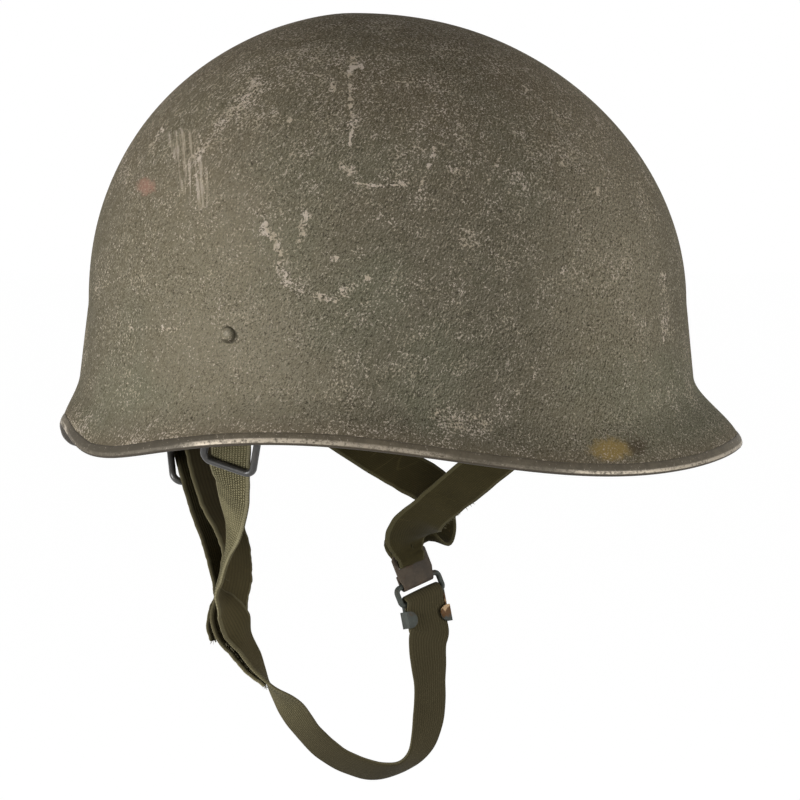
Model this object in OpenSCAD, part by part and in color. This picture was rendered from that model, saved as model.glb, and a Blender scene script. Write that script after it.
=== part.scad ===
// Steel helmet, one-piece mid-century type, with its leather liner and webbing harness.
// Millimetres. The visor points to -X, the wearer's left is -Y, up is +Z.
// Heights in the sizes below are taken from the rim's reference plane. The whole model is then
// lowered by head_h, so that the origin is the centre of the headband, where a head holds it.

/* [Shell] */
// Half length in front of the origin, at the belt line
front_len = 122.9; // [115:0.1:130]
// Half length behind the origin, at the belt line
rear_len = 125.8; // [118:0.1:134]
// Half width at the belt line
half_w = 105; // [98:0.5:112]
// Height of the dome above the belt line
dome_h = 119.6; // [105:0.1:128]
// Height of the belt line, where the dome meets the skirt
belt_z = 62.5; // [58:0.1:68]
// Thickness of the pressed steel
shell_wall = 1.2; // [0.9:0.1:1.6]
// How far the crown sits in front of the middle
crown_shift = 13.2; // [8:0.1:18]
// How far the visor flares out past the skirt
visor_flare = 5.1; // [3:0.1:9]
// How far the neck guard flares out past the skirt
nape_flare = 17.2; // [10:0.1:24]
// How far the sides flare out past the skirt
side_flare = 8; // [4:0.5:11]
// Height of the visor above the temples, at the rim
visor_lift = 17.9; // [8:0.1:22]

/* [Rim edging] */
// Height of the crimped strip
edging_h = 4.2; // [3:0.1:6]
// Sheet thickness of the crimped strip
edging_wall = 0.7; // [0.4:0.1:1]

/* [Webbing] */
// Width of the harness webbing
web_w = 17.5; // [15:0.5:20]
// Thickness of the harness webbing
web_t = 1.6; // [1.2:0.1:2]

/* [Side anchors] */
// Angle of the side rivets from the visor
rivet_t = 53; // [48:1:58]
// Height of the side rivets
rivet_z = 51; // [46:0.5:56]
// Diameter of a side rivet's shank
rivet_d = 4; // [3:0.1:5]
// Diameter of a side rivet's head
rivet_head_d = 6.8; // [6:0.1:9]
// Height of a side rivet's domed head
rivet_head_h = 2.4; // [1.6:0.1:3]
// Thickness of the anchor plates
anchor_t = 1.2; // [0.8:0.1:2]

/* [Slide rings] */
// Diameter of the wire
ring_wire = 3; // [2.2:0.1:3.2]
// Length of a ring between the middles of its bars
ring_l = 19; // [17:0.5:24]
// Play of the webbing between a ring's side bars
ring_play = 1.3; // [0.8:0.1:3]

/* [Buckle] */
// Diameter of the buckle's bars
buckle_wire = 2.3; // [2:0.1:2.6]
// Distance between the middles of the buckle's two bars
buckle_l = 7.6; // [7.2:0.1:9]
// Sheet thickness of the hook plate
plate_t = 1.1; // [0.8:0.1:1.3]
// Width of the tongue that hooks the buckle
tongue_w = 14.6; // [12:0.2:15.2]
// Length of the folded ears on the strap
ear_l = 7; // [6:0.5:9]

/* [Liner] */
// Height of the headband's middle, where the head sits
head_h = 62; // [60:0.5:66]
// Height of the steel hoop
hoop_h = 26; // [20:0.5:28]
// Sheet thickness of the hoop
hoop_t = 1; // [0.8:0.1:1.5]
// Space between the hoop and the shell's belt line, at the front and the rear
hoop_gap_l = 11.35; // [10:0.05:16]
// Space between the hoop and the shell's belt line, at the sides
hoop_gap_w = 13; // [12:0.5:17]
// Width of the cross's arms
arm_w = 20; // [14:1:24]
// Sheet thickness of the cross's arms
arm_t = 1.2; // [0.8:0.1:1.6]
// Number of leather tongues
tongues = 8; // [6:1:10]
// Thickness of the leather
leather_t = 1.8; // [1.4:0.1:2.2]

/* [Crown] */
// Diameter of the threaded stud
stud_d = 6; // [5:0.5:8]
// Diameter of the stud's welded foot
foot_d = 22; // [16:1:26]
// Thickness of the felt pad under the cross
pad_t = 6; // [4:0.5:8]
// Diameter of the felt pad
pad_d = 56; // [50:1:70]

/* [Hidden] */

$fn = 48;
// Play between pieces that are fitted, and the running play of a bar in its hook.
fit = 0.1;
run = 0.08;

// Steps round the shell, over the dome and down the skirt.
AROUND = 64;
DOME_STEPS = 16;
SKIRT_STEPS = 15;

function unit(v) = v / norm(v);
function smooth(v) = let(c = min(max(v, 0), 1)) 3*c*c - 2*c*c*c;
function wrap(t) = t > 180 ? t - 360 : t;
// A value that is f at the visor, r at the nape and s at the sides.
function round_mix(t, f, r, s) = pow(cos(t), 2)*(cos(t) > 0 ? f : r) + pow(sin(t), 2)*s;

// The shell is a dome over a skirt. Angle t is 0 at the visor and 90 at the wearer's left.
function rim_z(t) = 1.3 + 1.1*cos(t) - 2.1*cos(2*t) - 6*cos(3*t) + 0.5*cos(4*t)
    + visor_lift*exp(-pow(wrap(t)/17.8, 2));
function half_l(t) = cos(t) > 0 ? front_len : rear_len;
function skirt_taper(t) = round_mix(t, 0.123, 0.097, 0.06);
function flare(t, z) = round_mix(t, visor_flare, nape_flare, side_flare)
    *(1 - smooth((z - rim_z(t))/round_mix(t, 20.5, 27.6, 20)));
// Growth of the skirt past the belt line's oval, at height z.
function growth(t, z) = skirt_taper(t)*(belt_z - z) + flare(t, z);
// A point on the skirt, moved in by a distance from the outside.
function skirt(t, z, in) = let(g = growth(t, z) - in)
    [-(half_l(t) + g)*cos(t), -(half_w + g)*sin(t), z];
// A point on the dome, at angle a from the crown.
function dome(t, a, in) = let(
        q = cos(a),
        bulge = round_mix(t, 2.12, 1.96, 2.15),
        tuck = round_mix(t, 1.72, 2.24, 2.15),
        r = pow(1 - pow(q, bulge), 1/tuck))
    [-(half_l(t) - in)*cos(t)*r - crown_shift*q*q, -(half_w - in)*sin(t)*r,
        belt_z + (dome_h - in)*q];
// The dome's inner height above a point near the middle of the crown.
crown_in_z = belt_z + dome_h - shell_wall;

// Turns a piece drawn in its own frame: x along u, z along v, at point o.
module seat(o, u, v) {
    w = cross(v, u);
    multmatrix([[u.x, w.x, v.x, o.x], [u.y, w.y, v.y, o.y], [u.z, w.z, v.z, o.z], [0, 0, 0, 1]])
        children();
}
module place() { translate([0, 0, -head_h]) children(); }

// A closed skin over rings of equally many points, with a flat end at both ends.
module loft(rings) {
    n = len(rings[0]);
    m = len(rings);
    pts = [for (r = rings) each r];
    polyhedron(pts, concat(
        [for (i = [0:m - 2], j = [0:n - 1]) let(k = (j + 1) % n)
            each [[i*n + j, i*n + k, (i + 1)*n + k], [i*n + j, (i + 1)*n + k, (i + 1)*n + j]]],
        [for (j = [1:n - 2]) [0, j + 1, j]],
        [for (j = [1:n - 2]) [(m - 1)*n, (m - 1)*n + j, (m - 1)*n + j + 1]]));
}
// A tube of one section carried round a closed loop.
module loop_skin(rings) {
    n = len(rings[0]);
    m = len(rings);
    polyhedron([for (r = rings) each r],
        [for (i = [0:m - 1], j = [0:n - 1]) let(a = i*n, b = ((i + 1) % m)*n, k = (j + 1) % n)
            each [[a + j, b + k, a + k], [a + j, b + j, b + k]]]);
}

// Webbing. A row is a point on the middle line, the direction across the webbing there and,
// where the webbing is gathered or folded, its width.
function spline(a, b, c, d, u) = 0.5*((2*b) + (c - a)*u + (2*a - 5*b + 4*c - d)*u*u
    + (3*b - a - 3*c + d)*u*u*u);
function row(rows, i) = rows[min(max(i, 0), len(rows) - 1)];
function along(rows, s) = let(i = min(floor(s), len(rows) - 2))
    spline(row(rows, i - 1), row(rows, i), row(rows, i + 1), row(rows, i + 2), s - i);
function part(v, a, b) = [for (i = [a:b]) v[i]];
module webbing(rows, steps, w = web_w, t = web_t) {
    last = (len(rows) - 1)*steps;
    p = [for (i = [0:last]) along(rows, i/steps)];
    c = [for (v = p) part(v, 0, 2)];
    d = [for (i = [0:last]) unit(c[min(i + 1, last)] - c[max(i - 1, 0)])];
    a = [for (i = [0:last]) let(x = part(p[i], 3, 5)) unit(x - (x*d[i])*d[i])];
    loft([for (i = [0:last]) let(e = a[i]*(len(p[i]) > 6 ? p[i][6] : w)/2,
            f = cross(a[i], d[i])*t/2)
        [c[i] - e - f, c[i] + e - f, c[i] + e + f, c[i] - e + f]]);
}

// A wire bent to a rectangle in the xz plane, its bars' middles w by l apart.
module wire_loop(w, l, d, r) {
    for (s = [-1, 1]) {
        translate([-w/2 + r, 0, s*l/2]) rotate([0, 90, 0]) cylinder(d = d, h = w - 2*r);
        translate([s*w/2, 0, -l/2 + r]) cylinder(d = d, h = l - 2*r);
        for (k = [-1, 1])
            translate([s*(w/2 - r), 0, k*(l/2 - r)]) rotate([90, 0, 0])
                rotate([0, 0, s > 0 ? (k > 0 ? 0 : 270) : (k > 0 ? 90 : 180)])
                    rotate_extrude(angle = 90) translate([r, 0]) circle(d = d, $fn = 32);
    }
}

module shell() {
    color("darkolivegreen")
    difference() {
        shell_skin();
        for (s = [-1, 1]) on_side(s) rotate([90, 0, 0])
            translate([0, 0, -8]) cylinder(d = rivet_d + 2*fit, h = 16);
    }
}
function shell_ring(k, in) = [for (j = [0:AROUND - 1]) let(t = j*360/AROUND)
    k < DOME_STEPS ? dome(t, 5 + 85*pow(k/DOME_STEPS, 0.9), in)
    : let(u = (k - DOME_STEPS)/SKIRT_STEPS, z = rim_z(t) + (belt_z - rim_z(t))*pow(1 - u, 1.35))
        skirt(t, z, in)];
module shell_skin() {
    n = AROUND;
    m = DOME_STEPS + SKIRT_STEPS + 1;
    top = [-crown_shift, 0, belt_z + dome_h];
    pts = concat([for (k = [0:m - 1]) each shell_ring(k, 0)],
        [for (k = [0:m - 1]) each shell_ring(k, shell_wall)], [top, top - [0, 0, shell_wall]]);
    b = m*n;
    polyhedron(pts, concat(
        [for (i = [0:m - 2], j = [0:n - 1]) let(k = (j + 1) % n)
            each [[i*n + j, i*n + k, (i + 1)*n + k], [i*n + j, (i + 1)*n + k, (i + 1)*n + j]]],
        [for (i = [0:m - 2], j = [0:n - 1]) let(k = (j + 1) % n)
            each [[b + i*n + j, b + (i + 1)*n + k, b + i*n + k],
                [b + i*n + j, b + (i + 1)*n + j, b + (i + 1)*n + k]]],
        [for (j = [0:n - 1]) let(k = (j + 1) % n, e = (m - 1)*n)
            each [[e + j, b + e + k, b + e + j], [e + j, e + k, b + e + k]]],
        [for (j = [0:n - 1]) [2*b, (j + 1) % n, j]],
        [for (j = [0:n - 1]) [2*b + 1, b + j, b + (j + 1) % n]]));
}

// The frame on the shell at a side rivet: x to the rear, -y out of the shell, z up the wall.
side_point = skirt(rivet_t, rivet_z, 0);
side_n = unit([cos(rivet_t)*half_w, sin(rivet_t)*front_len, 0]);
side_lean = atan(skirt_taper(rivet_t));
module on_side(s) {
    mirror([0, s > 0 ? 1 : 0, 0])
        translate(side_point) rotate([0, 0, -90 + atan2(side_n.y, side_n.x)])
            rotate([-side_lean, 0, 0]) children();
}

// The crimped strip that wraps the rim.
module rim_edging() {
    c = 0.1;
    w = edging_wall;
    h = edging_h;
    i = shell_wall;
    color("gray")
    loop_skin([for (k = [0:AROUND - 1]) let(t = k*360/AROUND) [for (e = [[h, -c - w],
            [h/2, -c - w], [-c, -c - w], [-c - w, -c], [-c - w, i + c], [-c, i + c + w],
            [h/2, i + c + w], [h, i + c + w], [h, i + c], [h/2, i + c], [-c, i + c], [-c, -c],
            [h/2, -c], [h, -c]])
        skirt(t, rim_z(t) + e[0], e[1])]]);
}

// Side rivets, from the outside in: head, shell, webbing, anchor plate, closed end.
web_y = shell_wall + 0.75 + web_t/2;
next_ply = web_t + 0.15;
function anchor_y(s) = web_y + web_t/2 + 0.05 + (s > 0 ? next_ply + 0.5 : 0);
module side_rivet(s) {
    r = (pow(rivet_head_h, 2) + pow(rivet_head_d/2, 2))/(2*rivet_head_h);
    end = anchor_y(s) + anchor_t;
    color("olive")
    on_side(s) rotate([90, 0, 0]) {
        translate([0, 0, -end]) cylinder(d = rivet_d, h = end + 0.3);
        intersection() {
            translate([0, 0, rivet_head_h - r]) sphere(r = r, $fn = 64);
            cylinder(d = rivet_head_d + 1, h = rivet_head_h + 1);
        }
        translate([0, 0, -end - 1.3]) cylinder(d = rivet_d + 2, h = 1.3);
    }
}
module side_rivet_left() { side_rivet(-1); }
module side_rivet_right() { side_rivet(1); }

module anchor_plate(s) {
    color("dimgray")
    on_side(s) translate([0, anchor_y(s) + anchor_t, 0]) rotate([90, 0, 0])
        linear_extrude(anchor_t) difference() {
            union() {
                square([web_w - 2, 11], center = true);
                for (k = [-1, 1]) translate([0, k*1.5]) circle(d = web_w - 5.5);
            }
            circle(d = rivet_d + 2*fit);
        }
}
module anchor_plate_left() { anchor_plate(-1); }
module anchor_plate_right() { anchor_plate(1); }

// Crown, from the shell down: stud with its foot, felt pad, cross, washer, nut.
foot_h = 5;
foot_z = crown_in_z - 1.2 - foot_h;
hub_z = foot_z - pad_t;
washer_z = hub_z - arm_t - 1.2;
module at_crown(z) { translate([-crown_shift, 0, z]) children(); }
module crown_stud() {
    color("darkgray") {
        at_crown(foot_z) cylinder(d = foot_d, h = foot_h);
        at_crown(washer_z - 9) cylinder(d = stud_d, h = foot_z - washer_z + 10);
    }
}
module crown_pad() {
    color("tan")
    at_crown(hub_z) difference() {
        cylinder(d = pad_d, h = pad_t - 0.1);
        translate([0, 0, -1]) cylinder(d = stud_d + 2, h = pad_t + 2);
    }
}
module crown_washer() {
    color("silver")
    at_crown(washer_z) difference() {
        cylinder(d = 18, h = 1.2);
        translate([0, 0, -1]) cylinder(d = stud_d + 2*fit, h = 4);
    }
}
module crown_nut() {
    color("gold")
    at_crown(washer_z - 7) difference() {
        union() {
            cylinder(d = 13, h = 7);
            translate([0, 0, 5.5]) cylinder(d = 16, h = 1.5);
        }
        translate([0, 0, -1]) cylinder(d = stud_d + 2*fit, h = 9);
        translate([-8, -0.8, -1]) cube([16, 1.6, 3]);
    }
}

// The hoop is an oval about this point; out moves away from its outer face.
hoop_x = 1;
hoop_a = (front_len + rear_len)/2 - hoop_gap_l;
hoop_b = half_w - hoop_gap_w;
function hoop_pt(t, out, z) = [hoop_x - (hoop_a + out)*cos(t), -(hoop_b + out)*sin(t), z];
function hoop_n(t) = unit([cos(t)*hoop_b, sin(t)*hoop_a, 0]);
function hoop_u(t) = let(n = hoop_n(t)) [n.y, -n.x, 0];
module on_hoop(t, z) {
    n = hoop_n(t);
    translate(hoop_pt(t, 0, z)) rotate([0, 0, -90 + atan2(n.y, n.x)]) children();
}
module oval_wall(out, in, z0, z1) {
    translate([0, 0, z0]) linear_extrude(z1 - z0) difference() {
        polygon([for (k = [0:95]) let(p = hoop_pt(k*3.75, out, 0)) [p.x, p.y]]);
        polygon([for (k = [0:95]) let(p = hoop_pt(k*3.75, in, 0)) [p.x, p.y]]);
    }
}
hoop_lo = head_h - hoop_h/2;
hoop_hi = head_h + hoop_h/2;

// Where the rivets of the liner sit: angle and height.
ARM_T = [40, 140, 220, 320];
arm_rivet_z = hoop_hi - 6;
band_rivet_z = hoop_lo + 6;
NAPE_T = [128, -54];
nape_rivet_z = head_h - 2;
small_rivet_d = 3;
small_head_d = 6.4;
function band_t(k) = (k + 0.5)*360/tongues;
// A rivet along the hoop's normal: y0 is its outer seat and y1 its inner seat.
module small_rivet(t, z, y0, y1, head = 1) {
    on_hoop(t, z) rotate([90, 0, 0]) {
        translate([0, 0, -y1 - 0.1]) cylinder(d = small_rivet_d, h = y1 - y0 + 0.2);
        translate([0, 0, -y0]) cylinder(d1 = small_head_d, d2 = small_head_d - 2, h = head);
        translate([0, 0, -y1 - 0.8]) cylinder(d = small_head_d - 1, h = 0.7);
    }
}
module rivet_hole(t, z, d) {
    on_hoop(t, z) rotate([90, 0, 0]) translate([0, 0, -8]) cylinder(d = d, h = 16);
}

module liner_hoop() {
    color("slategray")
    difference() {
        oval_wall(0, -hoop_t, hoop_lo, hoop_hi);
        for (t = ARM_T) rivet_hole(t, arm_rivet_z, small_rivet_d + 2*fit);
        for (k = [0:tongues - 1]) rivet_hole(band_t(k), band_rivet_z, small_rivet_d + 2*fit);
        for (t = NAPE_T) rivet_hole(t, nape_rivet_z, small_rivet_d + 2*fit);
    }
}

arm_out = 0.2;
function arm_rows(t) = let(u = hoop_u(t), f = [-cos(t), -sin(t), 0]) concat(
    [for (r = [12, 18, 25]) concat([-crown_shift, 0, hub_z - arm_t/2 - 0.1 - r/40] + f*r, u)],
    [for (a = [24, 36, 50, 64, 77]) concat(dome(t, a, 12), u)],
    [for (z = [hoop_hi + 5, hoop_hi - 2, arm_rivet_z, arm_rivet_z - 6])
        concat(hoop_pt(t, arm_out + arm_t/2, z), u)]);
module liner_cross() {
    color("lightslategray")
    difference() {
        union() {
            at_crown(hub_z - arm_t) cylinder(d = 44, h = arm_t);
            for (t = ARM_T) webbing(arm_rows(t), 2, arm_w, arm_t);
        }
        at_crown(hub_z - 10) cylinder(d = stud_d + 2*fit, h = 20);
        for (t = ARM_T) rivet_hole(t, arm_rivet_z, small_rivet_d + 2*fit);
    }
}
module arm_rivets() {
    color("silver")
    for (t = ARM_T) small_rivet(t, arm_rivet_z, -arm_out - arm_t - 0.1, hoop_t);
}

// Sweatband: a leather band inside the hoop. Its tongues rise to a lace under the crown.
band_in = hoop_t + 1;
lace_z = 140;
lace_r = 36;
lace_d = 2.6;
band_hi = head_h - 1;
// A point on the tongues, at angle t; u is 0 at the band's top and 1 at the lace.
function tongue_pt(t, u, in) = let(
        base = hoop_pt(t, -band_in - in, 0),
        lift = sin(90*u),
        draw = 1 - cos(90*u),
        top = [-6 - (lace_r - in)*cos(t), -(lace_r - in)*sin(t), 0])
    [base.x + (top.x - base.x)*draw, base.y + (top.y - base.y)*draw,
        band_hi + 0.05 + (lace_z - band_hi - 0.05 - in*draw)*lift];
// A bent sheet: grid A is its outer face and grid B its inner face, row by row.
module bent_sheet(A, B) {
    m = len(A);
    n = len(A[0]);
    b = m*n;
    rim = concat([for (j = [0:n - 1]) j], [for (i = [1:m - 1]) i*n + n - 1],
        [for (j = [n - 2:-1:0]) (m - 1)*n + j], [for (i = [m - 2:-1:1]) i*n]);
    polyhedron(concat([for (r = A) each r], [for (r = B) each r]), concat(
        [for (i = [0:m - 2], j = [0:n - 2]) let(a = i*n + j) each
            [[a, a + 1, a + n + 1], [a, a + n + 1, a + n],
             [b + a, b + a + n + 1, b + a + 1], [b + a, b + a + n, b + a + n + 1]]],
        [for (k = [0:len(rim) - 1]) let(p = rim[k], q = rim[(k + 1) % len(rim)])
            each [[p, b + q, q], [p, b + p, b + q]]]));
}
module tongue(k) {
    across = 5;
    up = 7;
    grid = [for (in = [0, leather_t]) [for (i = [0:up]) let(
            u = i/up,
            half = 180/tongues*(0.985 - 0.25*smooth(u*1.4)))
        [for (j = [0:across]) tongue_pt(band_t(k) + half*(1 - 2*j/across), u, in)]]];
    bent_sheet(grid[0], grid[1]);
}
module sweatband() {
    color("saddlebrown")
    difference() {
        oval_wall(-band_in, -band_in - leather_t, hoop_lo - 4, band_hi);
        for (k = [0:tongues - 1]) rivet_hole(band_t(k), band_rivet_z, small_rivet_d + 2*fit);
    }
}
module crown_tongues() {
    color("sienna")
    for (k = [0:tongues - 1]) tongue(k);
}
module sweatband_rivets() {
    color("goldenrod")
    for (k = [0:tongues - 1])
        small_rivet(band_t(k), band_rivet_z, -0.05, band_in + leather_t);
}
module tongue_lace() {
    color("wheat")
    translate([-6, 0, lace_z + lace_d/2 + 0.2])
        rotate_extrude($fn = 96) translate([lace_r + 4, 0]) circle(d = lace_d, $fn = 24);
}

// The straps' routes are drawn for a shell of these sizes, and stretch with the shell.
drawn_for = [122.9, 105, 62.5];
function routed(p) = [p.x*front_len/drawn_for.x, p.y*half_w/drawn_for.y, p.z*belt_z/drawn_for.z,
    for (i = [3:1:len(p) - 1]) p[i]];
function route(rows) = [for (r = rows) routed(r)];
// The buckle's own frame: its origin is the middle of the bar that the hook plate holds.
buckle_o = routed([13.2, 0, -53.5]);
buckle_u = unit([0.87, 0.36, 0.34]);
buckle_v = unit([-0.38, 0, 0.92] - ([-0.38, 0, 0.92]*buckle_u)*buckle_u);
buckle_w = cross(buckle_v, buckle_u);
function at_buckle(y, z) = buckle_o + y*buckle_w + z*buckle_v;
// Below the lower bar the strap and its ears hang a little straighter than the frame.
ear_o = at_buckle(0, -buckle_l);
ear_turn = 0.22;
ear_u = unit(buckle_u - ear_turn*buckle_v);
ear_v = cross(ear_u, buckle_w);
function at_ear(y, z) = ear_o + y*buckle_w + z*ear_v;
turn_r = buckle_wire/2 + 0.3 + web_t/2;
ply = web_t/2 + 0.1;

// A point inside the shell at a side rivet: y inward from the steel, z up the wall.
function side_at(s, y, z) = let(
        c = cos(side_lean),
        d = sin(side_lean),
        p = side_point + y*[side_n.x*c, side_n.y*c, -d] + z*[side_n.x*d, side_n.y*d, c])
    [p.x, -s*p.y, p.z];
function side_u(s) = [side_n.y, s*side_n.x, 0];
function side_rows(s, y = web_y) = [for (z = [9, 0, -7, -13]) concat(side_at(s, y, z), side_u(s))];
// The straight stretches that the slide rings run on: start, end and across.
left_run = [side_at(-1, web_y + 3, -22), routed([-69.6, -46.6, -5.6]), [0.86, -0.48, -0.2]];
right_run = [routed([-77.5, 69, 10]), routed([-71, 35, -23]), [0.84, 0.52, 0.12]];
function run_at(r, k) = r[0] + k*(r[1] - r[0]);
function run_rows(r, k) = [for (i = k) concat(run_at(r, i), r[2])];

// The chin strap's route, from the left side rivet, down, round and up to the buckle.
CHIN_TAIL = [
    [-68, -40, -13, 0.58, -0.81, -0.07],
    [-67, -29.5, -22, 0.3, -0.94, 0.1],
    [-66.5, -20, -31.5, 0.12, -0.98, 0.13],
    [-67.5, -14, -41, 0, -1, 0.1],
    [-69.5, -10.5, -50, -0.05, -1, 0],
    [-71, -8.5, -57, -0.2, -0.98, 0],
    [-67.5, -7, -63, -0.62, -0.78, 0],
    [-63, -4, -70, -0.75, -0.62, -0.1],
    [-59.2, -1, -78, -0.5, -0.85, -0.15],
    [-54, 0, -87, -0.32, -0.92, -0.2],
    [-48.2, 0, -96.3, 0, -1, 0],
    [-39.8, 0, -106, 0.46, -0.85, 0.27],
    [-31.5, 0, -117, 0.43, -0.85, 0.31],
    [-20.6, 0, -126.7, 0.27, -0.84, 0.46],
    [-6, 0, -132.6, 0.08, -0.88, 0.48],
    [6, 0, -131.6, -0.2, -0.92, 0.3],
    [14.3, 0, -124.5, -0.6, -0.78, 0.1],
    [18.3, 0, -112.3, -0.82, -0.57, 0],
    [18.7, -1.2, -95.1, -0.84, -0.54, 0],
    [17.7, -2.5, -80, -0.94, -0.32, -0.1]];
function ear_rows(y, zs) = [for (z = zs) concat(at_ear(y, z), -ear_u)];
buckle_rows = concat(ear_rows(-ply, [-14.5, -9, -5.2]),
    [for (a = [-90, -45, 0, 45, 90]) concat(at_buckle(turn_r*sin(a), turn_r*cos(a) - buckle_l), -buckle_u)],
    ear_rows(ply, [-5.2, -9, -14.5]));
chin_rows = concat(side_rows(-1), run_rows(left_run, [0, 0.5, 0.85, 1]), route(CHIN_TAIL),
    buckle_rows);
module chin_strap() {
    color("yellowgreen")
    difference() {
        webbing(chin_rows, 4);
        on_side(-1) rotate([90, 0, 0]) translate([0, 0, -8]) cylinder(d = rivet_d + 2*fit, h = 16);
    }
}
// Rows on the chin strap's back, from row a to row b, n0 plies behind it at a and n1 at b.
function behind(n0, n1, a, b, step, shift) = [for (i = [a:step:b]) let(
        n = n0 + (n1 - n0)*(i - a)/(b - a),
        p = along(chin_rows, i),
        d = unit(part(along(chin_rows, i + 0.1) - along(chin_rows, i - 0.1), 0, 2)),
        u = unit(part(p, 3, 5) - (part(p, 3, 5)*d)*d))
    concat(part(p, 0, 2) - cross(u, d)*n*next_ply + u*shift, -u)];
// The row where the right side's straps have come to the chin strap's back.
join = 15;
// The right side has two straps: an outer one with the ring, and an inner one.
module inner_strap_right() {
    color("olivedrab")
    difference() {
        webbing(concat(part(side_rows(1, web_y + next_ply + 0.5), 0, 2),
            [concat(side_at(1, web_y + next_ply + 1.8, -13), side_u(1))],
            route([[-72.4, 73, 26, 0.88, 0.45, 0.1], [-71.6, 61, 13, 0.9, 0.4, 0.1],
             [-70.5, 49, -1, 0.9, 0.4, 0.1],
             [-67.5, 28, -20.5, 0.82, 0.56, 0.12], [-63.5, 17.5, -31.5, 0.7, 0.69, 0.16],
             [-61, 11, -42, 0.69, 0.72, 0.11], [-61.5, 7.5, -52, 0.82, 0.57, 0],
             [-63.5, 5.5, -61, 0.8, 0.58, 0.1]]),
            behind(2.9, 1.05, join + 0.2, join + 2.9, 0.9, -0.2)), 4);
        on_side(1) rotate([90, 0, 0]) translate([0, 0, -8]) cylinder(d = rivet_d + 2*fit, h = 16);
    }
}
module ring_strap_right() {
    color("darkkhaki")
    difference() {
        webbing(concat(part(side_rows(1), 0, 2), [concat(side_at(1, web_y + 0.8, -13), side_u(1))],
            run_rows(right_run, [-0.12, 0.15, 0.5, 1]),
            route([[-67.5, 20, -37.5, 0.76, 0.62, 0.17], [-66, 14.5, -45.5, 0.78, 0.61, 0.14],
             [-64, 11, -57, 0.78, 0.62, 0.1],
             [-64.3, 9.5, -64, 0.75, 0.62, 0.25]]),
            behind(6.2, 6.4, join + 0.2, join + 0.7, 0.5, -2)), 4);
        on_side(1) rotate([90, 0, 0]) translate([0, 0, -8]) cylinder(d = rivet_d + 2*fit, h = 16);
    }
}

// A slide ring, threaded on a strap: its lower bar lies outside the strap, its upper bar inside.
ring_w = web_w + ring_play + ring_wire;
ring_lean = asin((ring_wire/2 + web_t/2 + 0.35)/(ring_l/2));
module slide_ring(s, r, k) {
    d = unit(r[1] - r[0]);
    u = unit(r[2] - (r[2]*d)*d);
    color("black")
    seat(run_at(r, k), u, -d*cos(ring_lean) - s*cross(u, d)*sin(ring_lean))
        wire_loop(ring_w, ring_l, ring_wire, 3.5);
}
module ring_left() { slide_ring(-1, left_run, 0.685); }
module ring_right() { slide_ring(1, right_run, 0.5); }

// Buckle: two bars, two sides, and an ear folded over each edge of the strap.
buckle_in = web_w + 1.4;
ear_t = 1;
module chin_buckle() {
    w = buckle_in + buckle_wire;
    face = ply + web_t/2 + 0.35;
    side = web_w/2 + 0.55;
    color("darkslategray")
    seat(buckle_o, buckle_u, buckle_v)
        translate([0, 0, -buckle_l/2]) wire_loop(w, buckle_l, buckle_wire, 2);
    color("darkslategray")
    seat(ear_o, ear_u, ear_v)
        for (s = [-1, 1]) {
            translate([s > 0 ? side : -side - ear_t, -face - ear_t, -4.6 - ear_l])
                cube([ear_t, 2*(face + ear_t), ear_l]);
            translate([s*(side + 0.6), 0, -4.8])
                cylinder(d = 1.2, h = 4.3 + s*ear_turn*(side + 0.6));
            for (k = [-1, 1]) translate([s*side, k < 0 ? -face : face + ear_t, -4.6 - ear_l/2])
                rotate([90, 0, 0]) linear_extrude(ear_t) intersection() {
                    circle(d = ear_l);
                    translate([s > 0 ? -ear_l : 0, -ear_l/2]) square([ear_l, ear_l]);
                }
        }
}

// Hook plate: a tongue bent round the buckle's bar, and a slot for the nape strap.
hook_r = buckle_wire/2 + run;
slot_w = 12.8;
plate_top = 13.8;
plate_y = -hook_r - plate_t;
module hook_plate() {
    color("rosybrown")
    seat(buckle_o, buckle_u, buckle_v) {
        translate([0, plate_y + plate_t, 0]) rotate([90, 0, 0]) linear_extrude(plate_t) difference() {
            polygon([[-tongue_w/2, 0], [tongue_w/2, 0], [8.4, 3.5], [8.4, plate_top - 2],
                [6.6, plate_top], [-6.6, plate_top], [-8.4, plate_top - 2], [-8.4, 3.5]]);
            translate([-slot_w/2, plate_top - 6.4]) square([slot_w, 3.2]);
        }
        translate([-tongue_w/2, hook_r, 0]) cube([tongue_w, plate_t, 4.5]);
        translate([-tongue_w/2, 0, 0]) rotate([90, 0, 90]) hook_bend();
    }
}
module hook_bend() {
    difference() {
        cylinder(r = hook_r + plate_t, h = tongue_w);
        translate([0, 0, -1]) cylinder(r = hook_r, h = tongue_w + 2);
        translate([-5, 0, -1]) cube([10, 5, tongue_w + 2]);
    }
}

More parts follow.
